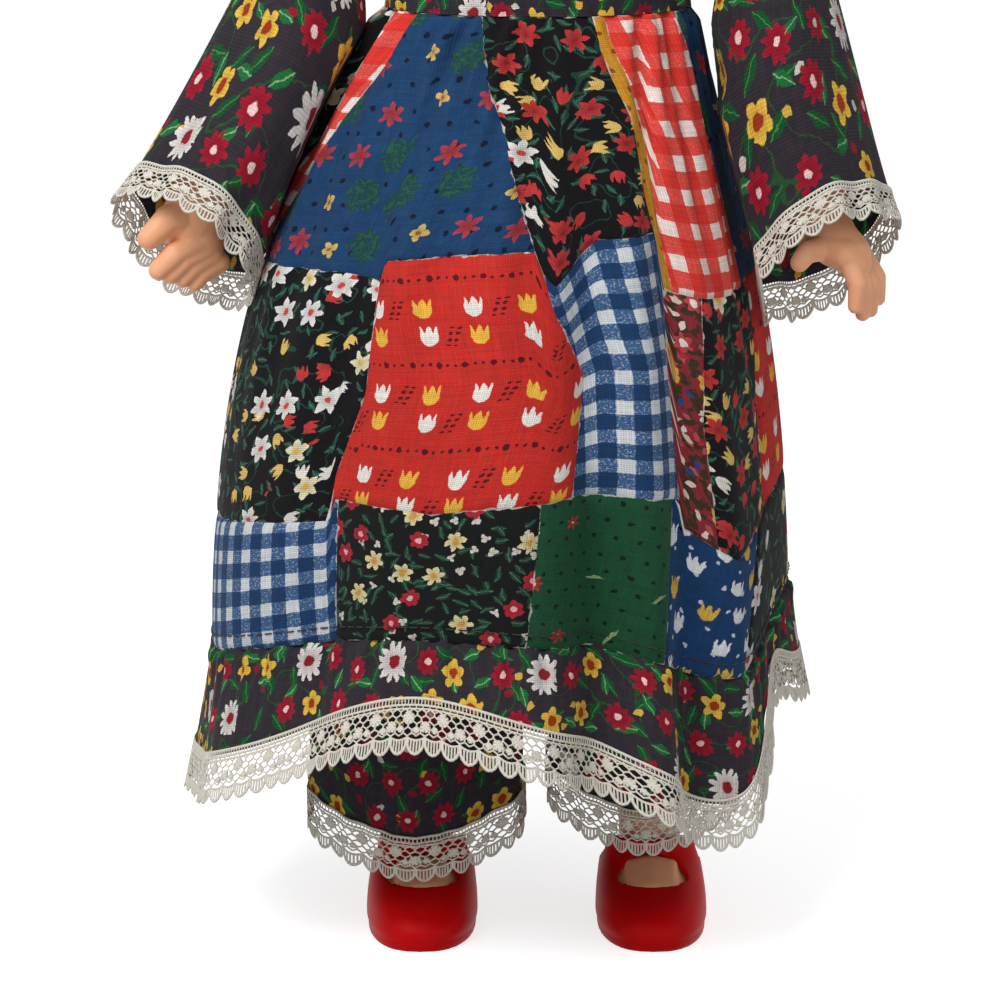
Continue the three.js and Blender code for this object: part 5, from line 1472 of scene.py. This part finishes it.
def right_hand(wrist):
    """A half closed hand below the wrist."""
    x, y, z = wrist
    shapes = run((x + 2, y + 1, z + 3, 7.2), (x + 2.4, y + 0.2, z - 2.5, 6.4), (x + 3.2, y + 0.5, z - 6, 5.6))
    shapes += run((x + 1.2, y - 2, z + 2, 4.6), (x - 4.7, y - 6.5, z + 2.2, 3.8), (x - 9.6, y - 8.2, z - 2.4, 3.0))
    for finger in range(4):
        bulk, ahead = 1 - 0.07 * finger, 1.9 * finger
        start = (x + 2.3 + 1.7 * finger, y - 2.6 + 0.9 * finger, z - 4.6 - 0.9 * ahead, 3.6 * bulk)
        bend = (x - 3.4 + 2.2 * finger, y - 6.6 + 1.5 * finger, z - 6.6 - 1.0 * ahead, 3.2 * bulk)
        tip = (x - 7.4 + 2.9 * finger, y - 7.6 + 1.7 * finger, z - 10.6 - 0.75 * ahead, 2.6 * bulk)
        shapes += run(start, bend, tip)
    return shapes


# %% Arms
ARM_SHARES, ARM_RADII = [0, 0.2, 0.4, 0.6, 0.8, 1], [10.5, 10.5, 10.5, 9.5, 8.5, 7.5]
DOME_RADIUS, DOME_REACH = 8.5, (5.4, 8)
HANDS = {"right": right_hand, "left": left_hand}
for name, side in SIDES.items():
    line = ARM_LINES[name]
    shares = np.linspace(0.08, 1, 16)
    radii = np.interp(shares, ARM_SHARES, ARM_RADII)
    balls = [(*point, radius) for point, radius in zip(line(shares), radii)]
    dome = [(side * (SHOULDER_X + reach), 0, SHOULDER_Z, DOME_RADIUS) for reach in DOME_REACH]
    hand = HANDS[name](line(np.array(1.0)))
    arm = fuse(f"{name}_arm_and_hand", run(*dome) + run(*balls) + hand, f"{name}_arm", peach, 0.42, 3)
    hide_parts(f"{name}_arm")

# %% [markdown]
# ## Legs and shoes
# The legs are plain mouldings that end in a foot inside the shoe. The shoe is one piece of satin red vinyl with a
# strap, an open throat in front of it and a low collar behind. It is carved the way the CAD solid is: an outer
# form, less a smaller one inside, less the throat and the opening behind the strap, then softened at its edges.

# %% Shoe forms
SHOE_TOE, SHOE_HEEL, SHOE_HALF_WIDTH = 36.5, 17.5, 14.5
SHOE_HEIGHT, SHOE_COLLAR, SHOE_WALL, SOLE = 22.5, 15, 1.8, 3
TOE_SHARES = [0.97, 1, 0.97, 0.86, 0.62, 0.4, 0.3, 0.28]
WIDTH_SHARES = [0.96, 1, 1, 0.985, 0.95, 0.91, 0.88, 0.86]
toe_table = np.stack([np.linspace(0, 1, len(TOE_SHARES)), TOE_SHARES, WIDTH_SHARES], 1)
toe_line = smooth_line(toe_table)(np.linspace(0, 1, 200))


def shoe_ring(side, z, inset=0.0, count=72):
    """The outline of a shoe at a height, drawn in by an inset in mm."""
    share = min(z / SHOE_HEIGHT, 1)
    toe = SHOE_TOE * np.interp(share, toe_line[:, 0], toe_line[:, 1]) - inset
    heel = SHOE_HEEL * (1 - 0.08 * share) - inset
    half = SHOE_HALF_WIDTH * np.interp(share, toe_line[:, 0], toe_line[:, 2]) - inset
    turn = full_turn(count)
    sideways = np.sign(np.sin(turn)) * np.abs(np.sin(turn)) ** 0.8
    y = (heel - toe) / 2 - np.cos(turn) * (heel + toe) / 2
    return np.stack([side * LEG_X + half * sideways * (1 + 0.05 * np.cos(turn)), y, np.full(count, z)], -1)


def oval_rod(middle, half_width, half_length, low, high):
    turn = full_turn(48)
    ring = np.stack([middle[0] + half_width * np.sin(turn), middle[1] - half_length * np.cos(turn), 0 * turn], -1)
    return loft_shape([ring + np.array([0, 0, z]) for z in (low, high)])


print("shoe", SHOE_TOE + SHOE_HEEL, "mm long and", 2 * SHOE_HALF_WIDTH, "mm wide")

# %% Carve the shoes
SOLE_GROOVE, GROOVE_AT, OVER_SHOE, BEYOND_SHOE = 0.45, 2.6, 40, 60
THROAT_AT, THROAT_HALF_WIDTH, THROAT_HALF_LENGTH, STRAP_BACK = -15.6, 9, 5.4, -3
BEHIND_STRAP = [(-40, STRAP_BACK), (40, STRAP_BACK), (40, BEYOND_SHOE), (-40, BEYOND_SHOE)]
for name, side in SIDES.items():
    middle = side * LEG_X
    heights = np.linspace(0, SHOE_HEIGHT, 26)
    groove = SOLE_GROOVE * np.exp(-(((heights - GROOVE_AT) / 0.7) ** 2))
    outer = plain_object(f"{name}_red_shoe", loft_shape([shoe_ring(side, z, g) for z, g in zip(heights, groove)]))
    inner_heights = np.linspace(SOLE, SHOE_HEIGHT + 3, 20)
    hollow = plain_object("hollow", loft_shape([shoe_ring(side, z, SHOE_WALL) for z in inner_heights]))
    throat_oval = oval_rod((middle, THROAT_AT), THROAT_HALF_WIDTH, THROAT_HALF_LENGTH, SOLE + 3, OVER_SHOE)
    throat = plain_object("throat", throat_oval)
    levels = [[(middle + x, y, z) for x, y in BEHIND_STRAP] for z in (SHOE_COLLAR, OVER_SHOE)]
    opening = plain_object("opening", loft_shape(levels))
    for tool in (hollow, throat, opening):
        carve = outer.modifiers.new("carve", "BOOLEAN")
        carve.operation = "DIFFERENCE"
        carve.object = tool
    keep_skin(outer, 0.5, 5, shoe_red, f"{name}_leg")
    for tool in (hollow, throat, opening):
        bpy.data.objects.remove(tool)
    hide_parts(f"{name}_shoe")

# %% Legs
INSTEP = [(-19.6, 11.6), (-18.0, 12.4), (-16.4, 13.2), (-14.8, 14.1), (-13.2, 15.0), (-11.6, 16.0)]
HIP_KNOBS = [(0, 8), (8, -2), (-8, -2)]
HIP_RADIUS, FOOT_GAP, FOOT_TOP, LEG_FOOT = 12, 0.45, 22, 15
for name, side in SIDES.items():
    turn, middle = full_turn(48), side * LEG_X
    rings = []
    for z in np.linspace(HIP_Z - 2, LEG_FOOT, 60):
        x, y, width, deep = leg_size(z)
        rings.append(np.stack([side * x + width * np.sin(turn), y - deep * np.cos(turn), np.full(48, z)], -1))
    insets = [(z, SHOE_WALL + FOOT_GAP + 0.6 * max(0, z - 13)) for z in np.linspace(SOLE + 0.4, FOOT_TOP, 20)]
    foot = loft_shape([shoe_ring(side, z, inset) for z, inset in insets])
    instep, hip = [], []
    for y, z in INSTEP:
        instep += run((middle - 5, y, z - 0.3, 2.2), (middle, y, z + 0.5, 2.4), (middle + 5, y, z - 0.3, 2.2))
    for y, rise in HIP_KNOBS:
        hip += run((side * 26, 0, HIP_Z, HIP_RADIUS), (side * 22, y, HIP_Z + rise, HIP_RADIUS))
    leg = fuse(f"{name}_vinyl_leg", [loft_shape(rings), foot] + instep + hip, f"{name}_leg", peach, 0.7, 4)
    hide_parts(f"{name}_leg")

# %% [markdown]
# ## Head and face
# The head is a hollow vinyl moulding on a short neck. It is fused from a loft and a neck rod and then pushed in and
# out at a few places, as a sculptor presses clay: nose, cheeks, lips, chin and eye sockets. The face is painted on
# in flat colours, so its eyes, brows, lips and blush are ovals in the paint of the vinyl.

# %% Face paint
CHIN_Z, HEAD_HEIGHT, HEAD_HALF_WIDTH, HEAD_HALF_DEPTH = 311, 92, 40, 42
EYE = (14.2, 43.0)


def face_paint(bench, where, colour):
    """Blush, brows, eyes and lips, alike on both sides of the face."""
    x, y, z = bench.split(bench.vector("SUBTRACT", where, (BODY_AXIS[0], BODY_AXIS[1], CHIN_Z)))
    front = bench.math("LESS_THAN", y, -12.0)
    beside = bench.math("ABSOLUTE", x)

    def oval(mx, mz, rx, rz, soft=0.05):
        across = bench.math("DIVIDE", bench.math("SUBTRACT", beside, mx), rx)
        upward = bench.math("DIVIDE", bench.math("SUBTRACT", z, mz), rz)
        filled = bench.below(bench.vector("LENGTH", bench.join(across, upward)), 1.0, soft)
        return bench.times(front, filled)

    def less(mask, other):
        return bench.times(mask, bench.math("SUBTRACT", 1.0, other))

    ex, ez = EYE
    colour = bench.paint(bench.times(oval(19, 26, 11, 9, 0.9), 0.38), colour, dye("d9684f"))
    arch = less(oval(ex, ez - 1, 8.6, 11.0, 0.03), oval(ex, ez - 1.9, 8.9, 10.9, 0.03))
    brow = bench.times(arch, bench.math("GREATER_THAN", z, ez + 5.5))
    colour = bench.paint(brow, colour, dye("6a4527"))
    upper = bench.math("GREATER_THAN", z, ez + 0.4)
    colour = bench.paint(bench.times(oval(ex, ez, 6.3, 5.0), upper), colour, dye("3a2218"))
    white = oval(ex, ez, 5.5, 4.0)
    colour = bench.paint(white, colour, dye("f1ece4"))
    for half_width, ink in ((3.4, "2b4a6c"), (2.8, "5b88ad")):
        iris = bench.times(oval(ex - 0.2, ez, half_width, half_width + 0.1), white)
        colour = bench.paint(iris, colour, dye(ink))
    colour = bench.paint(oval(ex - 0.2, ez, 1.5, 1.6), colour, dye("12100f"))
    # A white dot in each eye: part of the doll's own face paint, and also a painted highlight that stands in for a
    # reflection of the lamps.
    colour = bench.paint(oval(ex + 0.9, ez + 1.2, 0.75, 0.75), colour, dye("ffffff"))
    lips = bench.math("MAXIMUM", oval(1.9, 22.2, 2.6, 1.5, 0.12), oval(0, 19.4, 4.0, 2.0, 0.12))
    return bench.paint(bench.times(lips, 0.85), colour, dye("b8434a"))


face_vinyl = vinyl("face_vinyl", "fcbc90", "eeaa80", 0.48, 0.12, face_paint)

# %% Head moulding
CHIN_FORWARD, NECK_RADIUS, NECK_FOOT, NECK_TOP = 0.2, 13, 304.5, 330
HEAD_SHARES = np.array([
    (0.3, 0.3, 0), (0.74, 0.72, 0.1), (0.97, 0.93, 0.28), (1, 1, 0.5),
    (0.92, 0.94, 0.72), (0.62, 0.64, 0.92), (0.16, 0.16, 1),
])
head_size = form_sizes(HEAD_SHARES * (HEAD_HALF_WIDTH, HEAD_HALF_DEPTH, HEAD_HEIGHT) + (0, 0, CHIN_Z))


def head_point(turn, z, out=0.0):
    """Points on the head, by the turn from the front and the height; low down it leans forward to the chin."""
    width, depth = head_size(z)
    low = 1 - (np.clip(z, CHIN_Z, CHIN_Z + HEAD_HEIGHT) - CHIN_Z) / HEAD_HEIGHT
    y = -CHIN_FORWARD * HEAD_HALF_DEPTH * low**2 - (depth + out) * np.cos(turn)
    return np.stack([(width + out) * np.sin(turn), y, z + 0 * turn], -1)


turn = full_turn(64)
head_heights = np.linspace(CHIN_Z, CHIN_Z + HEAD_HEIGHT, 48)
head_loft = loft_shape([head_point(turn, np.full(64, z)) for z in head_heights])
neck_ring = np.stack([NECK_RADIUS * np.sin(turn), -NECK_RADIUS * np.cos(turn), 0 * turn], -1)
neck = loft_shape([neck_ring + np.array([0, 0, z]) for z in np.linspace(NECK_FOOT, NECK_TOP, 12)])
head = fuse("vinyl_head", [head_loft, neck], "head", face_vinyl, 0.65, 8)
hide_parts("head")

# %% Press the face
NOSE = [(0, 33, 3.6, 3.2, 2.5), (0, 40, 2.6, 6.5, 1.2), (2.9, 31.6, 1.7, 1.5, 0.9)]
CHEEKS_AND_CHIN = [(17, 27, 9, 8, 2.0), (0, 8, 7, 5, 2.0)]
LIPS = [(0, 22.6, 4.4, 1.5, 1.1), (0, 18.6, 3.6, 1.7, 1.2), (0, 20.7, 5.2, 0.8, -1.0), (5.4, 20.8, 1.3, 1.2, -0.7)]
EYES_AND_BROWS = [(*EYE, 8, 5.6, -1.9), (*EYE, 5.2, 3.8, 1.7), (14, 53, 9, 3, 0.7)]
UNDER_NOSE = [(0, 26.8, 0.9, 2.0, -0.4)]
FACE_PRESSES = NOSE + CHEEKS_AND_CHIN + LIPS + EYES_AND_BROWS + UNDER_NOSE
count = len(head.data.vertices)
where, normal = np.empty(count * 3, np.float32), np.empty(count * 3, np.float32)
head.data.vertices.foreach_get("co", where)
head.data.vertices.foreach_get("normal", normal)
where, normal = where.reshape(-1, 3) * 1000 - BODY_AXIS - (0, 0, CHIN_Z), normal.reshape(-1, 3)
push = np.zeros(count)
for x, z, half_x, half_z, depth in FACE_PRESSES:
    push += depth * np.exp(-(((np.abs(where[:, 0]) - x) / half_x) ** 2) - ((where[:, 2] - z) / half_z) ** 2)
push *= np.clip((-where[:, 1] - 8) / 10, 0, 1)
pressed = (where + normal * push[:, None] + BODY_AXIS + (0, 0, CHIN_Z)) * 0.001
head.data.vertices.foreach_set("co", pressed.astype(np.float32).ravel())
head.data.update()
print("deepest press", round(float(push.min()), 2), "highest", round(float(push.max()), 2), "mm")

# %% [markdown]
# ## Rooted hair
# The hair is a short bob with a fringe. Real hair is thousands of fibres; at this size the eye sees locks, so each
# lock is a flat tapering ribbon that starts at the crown, lies on the head and ends at the bob or the fringe. A
# close cap under the locks hides the scalp between them.

# %% Hair finish
def hair_finish():
    material, bench, shader = new_finish("rooted_hair")
    strand = bench.add("ShaderNodeAttribute", attribute_name="cloth").outputs["Vector"]
    fibres = bench.noise(bench.vector("MULTIPLY", strand, (3.4, 0.05, 1.0)), 1.0, 3)
    lock_tone = bench.noise(bench.vector("MULTIPLY", strand, (0.0, 0.01, 1.0)), 1.7, 1)
    colour = bench.paint(bench.math("MULTIPLY_ADD", fibres, 2.2, -0.6), dye("3a2314"), dye("7d5335"))
    colour = bench.paint(bench.times(lock_tone, 0.5), colour, dye("6b4427"))
    bench.feed(shader.inputs["Base Color"], colour)
    bench.feed(shader.inputs["Roughness"], bench.math("MULTIPLY_ADD", fibres, 0.25, 0.36))
    shader.inputs["Specular IOR Level"].default_value = 0.4
    bench.bump(shader, fibres, 0.5, 0.4)
    print("hair finish", len(material.node_tree.nodes), "nodes")
    return material


hair_fibre = hair_finish()


# %% Where the hair lies
BOB_RISE, FRINGE_RISE, FRINGE_EDGE, FRINGE_BLEND, CROWN = 10, 47, 60, 22, 10


def hair_end(turn):
    """Height of the hair's lower edge: the fringe in front, the bob elsewhere."""
    bearing = np.abs((np.degrees(turn) + 180) % 360 - 180)
    part = np.clip((FRINGE_EDGE - bearing) / FRINGE_BLEND, 0, 1)
    return CHIN_Z + BOB_RISE + FRINGE_RISE * part**2 * (3 - 2 * part)


side_heights = np.linspace(CHIN_Z + 9, CHIN_Z + 80, 60)
top_heights = np.linspace(CHIN_Z + 80.5, CHIN_Z + HEAD_HEIGHT, 40)
meridian_z = np.concatenate([side_heights, top_heights])
meridian_w = head_size(meridian_z)[1]
lengths = np.concatenate([[0], np.cumsum(np.hypot(np.diff(meridian_z), np.diff(meridian_w)))])
print("from the bob's edge to the crown", round(lengths[-1], 1), "mm")


def hair_point(turn, share, out):
    """From the middle of the crown at share 0 to the hair's edge at share 1, at a height over the scalp."""
    end = np.interp(hair_end(turn), meridian_z, lengths)
    down = share * (lengths[-1] - end + CROWN)
    z = np.interp(lengths[-1] - np.maximum(down - CROWN, 0), lengths, meridian_z)
    point = head_point(turn, z, out)
    point[..., :2] *= np.clip(down / CROWN, 0.02, 1)[..., None]
    middle = CHIN_Z + 0.5 * HEAD_HEIGHT
    point[..., 2] += np.clip((z - middle) / (HEAD_HEIGHT / 2), 0, 1) ** 2 * out
    return point


# %% Cap and locks
LOCKS, LOCK_POINTS, LOCK_SIDES, LOCK_LENGTH, LAYER_HEIGHTS = 88, 30, 8, 110, (1.9, 2.5, 3.1)
CAP_ROWS, CAP_AROUND, CAP_SHARE, CAP_HEIGHT = 40, 160, 0.93, 1.2
share, turn = np.meshgrid(np.linspace(0, 1, CAP_ROWS), np.linspace(0, 2 * math.pi, CAP_AROUND), indexing="ij")
hair_points = [hair_point(turn, share * CAP_SHARE, CAP_HEIGHT).reshape(-1, 3)]
hair_cloth = [np.stack([turn * 40, share * LOCK_LENGTH, 0 * turn], -1).reshape(-1, 3)]
hair_faces = [grid_faces(CAP_ROWS, CAP_AROUND)]
hair_count = CAP_ROWS * CAP_AROUND
lock_maker = np.random.default_rng(12)
along = np.linspace(0, 1, LOCK_POINTS)
rim = full_turn(LOCK_SIDES)
for layer, height in enumerate(LAYER_HEIGHTS):
    for number in range(LOCKS):
        start = 2 * math.pi * (number + 0.37 * layer + lock_maker.uniform(-0.3, 0.3)) / LOCKS
        sway = lock_maker.uniform(-0.09, 0.09)
        turn = start + sway * along**2 + 0.02 * np.sin(6 * along + number)
        reach = lock_maker.uniform(0.965, 1.02) - 0.03 * (layer == 2)
        lift = height + lock_maker.uniform(-0.4, 0.4) + 0.4 * np.sin(math.pi * along)
        lift = lift - 1.2 * np.clip(along - 0.86, 0, 1) / 0.14
        middle = hair_point(turn, along * reach, lift)
        ahead = np.gradient(middle, axis=0)
        outward = middle - np.array([0, 0, CHIN_Z + HEAD_HEIGHT / 2])
        beside = unit(np.cross(ahead, outward))
        normal = unit(np.cross(beside, ahead))
        girth = np.hypot(middle[:, 0], middle[:, 1]) * 2 * math.pi / LOCKS
        half = np.clip(0.95 * girth, 0.5, 3.0) * (1 - 0.75 * along**9)
        across = half[:, None] * np.cos(rim)
        up = (0.26 * half + 0.15)[:, None] * np.sin(rim)
        ring = middle[:, None] + beside[:, None] * across[..., None] + normal[:, None] * up[..., None]
        lengthwise = np.repeat(along[:, None] * LOCK_LENGTH, LOCK_SIDES, 1)
        which = np.full_like(across, number + 100.0 * layer)
        hair_faces.append(tube_faces(np.arange(hair_count, hair_count + across.size).reshape(across.shape)))
        hair_points.append(ring.reshape(-1, 3))
        hair_cloth.append(np.stack([across, lengthwise, which], -1).reshape(-1, 3))
        hair_count += across.size
hair = piece_from(
    "rooted_bob", np.concatenate(hair_points), np.concatenate(hair_faces), "head", [hair_fibre],
    np.concatenate(hair_cloth),
)
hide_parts("hair")

# %% [markdown]
# ## Small things
# The waist elastic, the row of dark topstitching above the ruffle, and the finishes of the CAD solids that are
# right as they are: the torso, the neck plug and the snaps on the back.

# %% A plain finish
def plain_finish(name, light, dark, scale, roughness, metal=0.0, grain=0.2):
    """A finish with a fine grain in its colour, its gloss and its relief."""
    material, bench, shader = new_finish(name)
    grains = bench.noise(millimetres(bench), scale, 3)
    bench.feed(shader.inputs["Base Color"], bench.paint(grains, dye(dark), dye(light)))
    bench.feed(shader.inputs["Roughness"], bench.math("MULTIPLY_ADD", grains, grain, roughness - grain / 2))
    shader.inputs["Metallic"].default_value = metal
    bench.bump(shader, grains, 0.2, 0.2)
    print("finish", name)
    return material


# %% Elastic
ELASTIC_ROWS, ELASTIC_AROUND, ELASTIC_WIDTH = 15, 260, 5
knitted_elastic = plain_finish("knitted_elastic", "e6e3dc", "c4c0b6", 2.5, 0.8)
elastic_turns = np.linspace(0, 2 * math.pi, ELASTIC_AROUND)
up, turn = np.meshgrid(np.linspace(0, 1, ELASTIC_ROWS), elastic_turns, indexing="ij")
elastic_z = SEAT_TOP + 0.3 + ELASTIC_WIDTH * up
rib = 1.45 + 0.22 * np.cos(10 * math.pi * up) + 0.05 * np.cos(130 * turn)
elastic_w, elastic_d = (size + rib for size in torso_size(elastic_z))
elastic = piece_from(
    "waist_elastic", np.stack([elastic_w * np.sin(turn), -elastic_d * np.cos(turn), elastic_z], -1),
    grid_faces(ELASTIC_ROWS, ELASTIC_AROUND)[:, ::-1], "torso", [knitted_elastic],
)
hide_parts("bloomer_elastic")


# %% Topstitching
STITCHES, STITCH_STEPS, STITCH_FALL, STITCH_LONG, STITCH_THICK = 150, 5, 0.976, 0.7, 0.2


def stitch_row(name, line, body, material):
    """Short thread arcs along a closed line: line(share, out) gives points in mm."""
    steps = np.linspace(0, 1, STITCH_STEPS)
    share = (np.arange(STITCHES)[:, None] + STITCH_LONG * steps[None]) / STITCHES
    middle = line(share, 0.05 + 0.22 * np.sin(math.pi * steps)[None])
    outward = line(share, 1.0 + 0 * share) - line(share, 0 * share)
    beside = unit(np.cross(np.gradient(middle, axis=1), outward))
    rim = thread_rim(middle, beside * STITCH_THICK, outward * STITCH_THICK)
    return piece_from(name, rim, tube_faces(np.arange(rim.size // 3).reshape(rim.shape[:3])), body, [material])


def above_ruffle(share, out):
    return skirt_point(share * 2 * math.pi, STITCH_FALL, out + 0.3)


dark_thread = plain_finish("dark_thread", "2c2224", "140e10", 3.0, 0.7)
topstitch = stitch_row("ruffle_topstitch", above_ruffle, "torso", dark_thread)

# %% Finishes of the CAD solids
plug_plastic = plain_finish("plug_plastic", "d8cbb8", "c6b7a2", 0.8, 0.45)
snap_steel = plain_finish("snap_steel", "b9bcc0", "8f9296", 1.5, 0.3, 1.0, 0.12)
solid_finishes = {"torso": peach, "neck_plug": plug_plastic}
for level in ("upper", "lower"):
    for half in ("stud", "socket"):
        solid_finishes[f"{level}_snap_{half}"] = snap_steel
for node, finish in solid_finishes.items():
    materials = frame["nodes"][node].data.materials
    materials.clear()
    materials.append(finish)
print("kept as they are:", list(solid_finishes))

# %% [markdown]
# ## The end

for name in SIDES:
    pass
print("sheets declared:", 5 + 2 * len(SIDES))
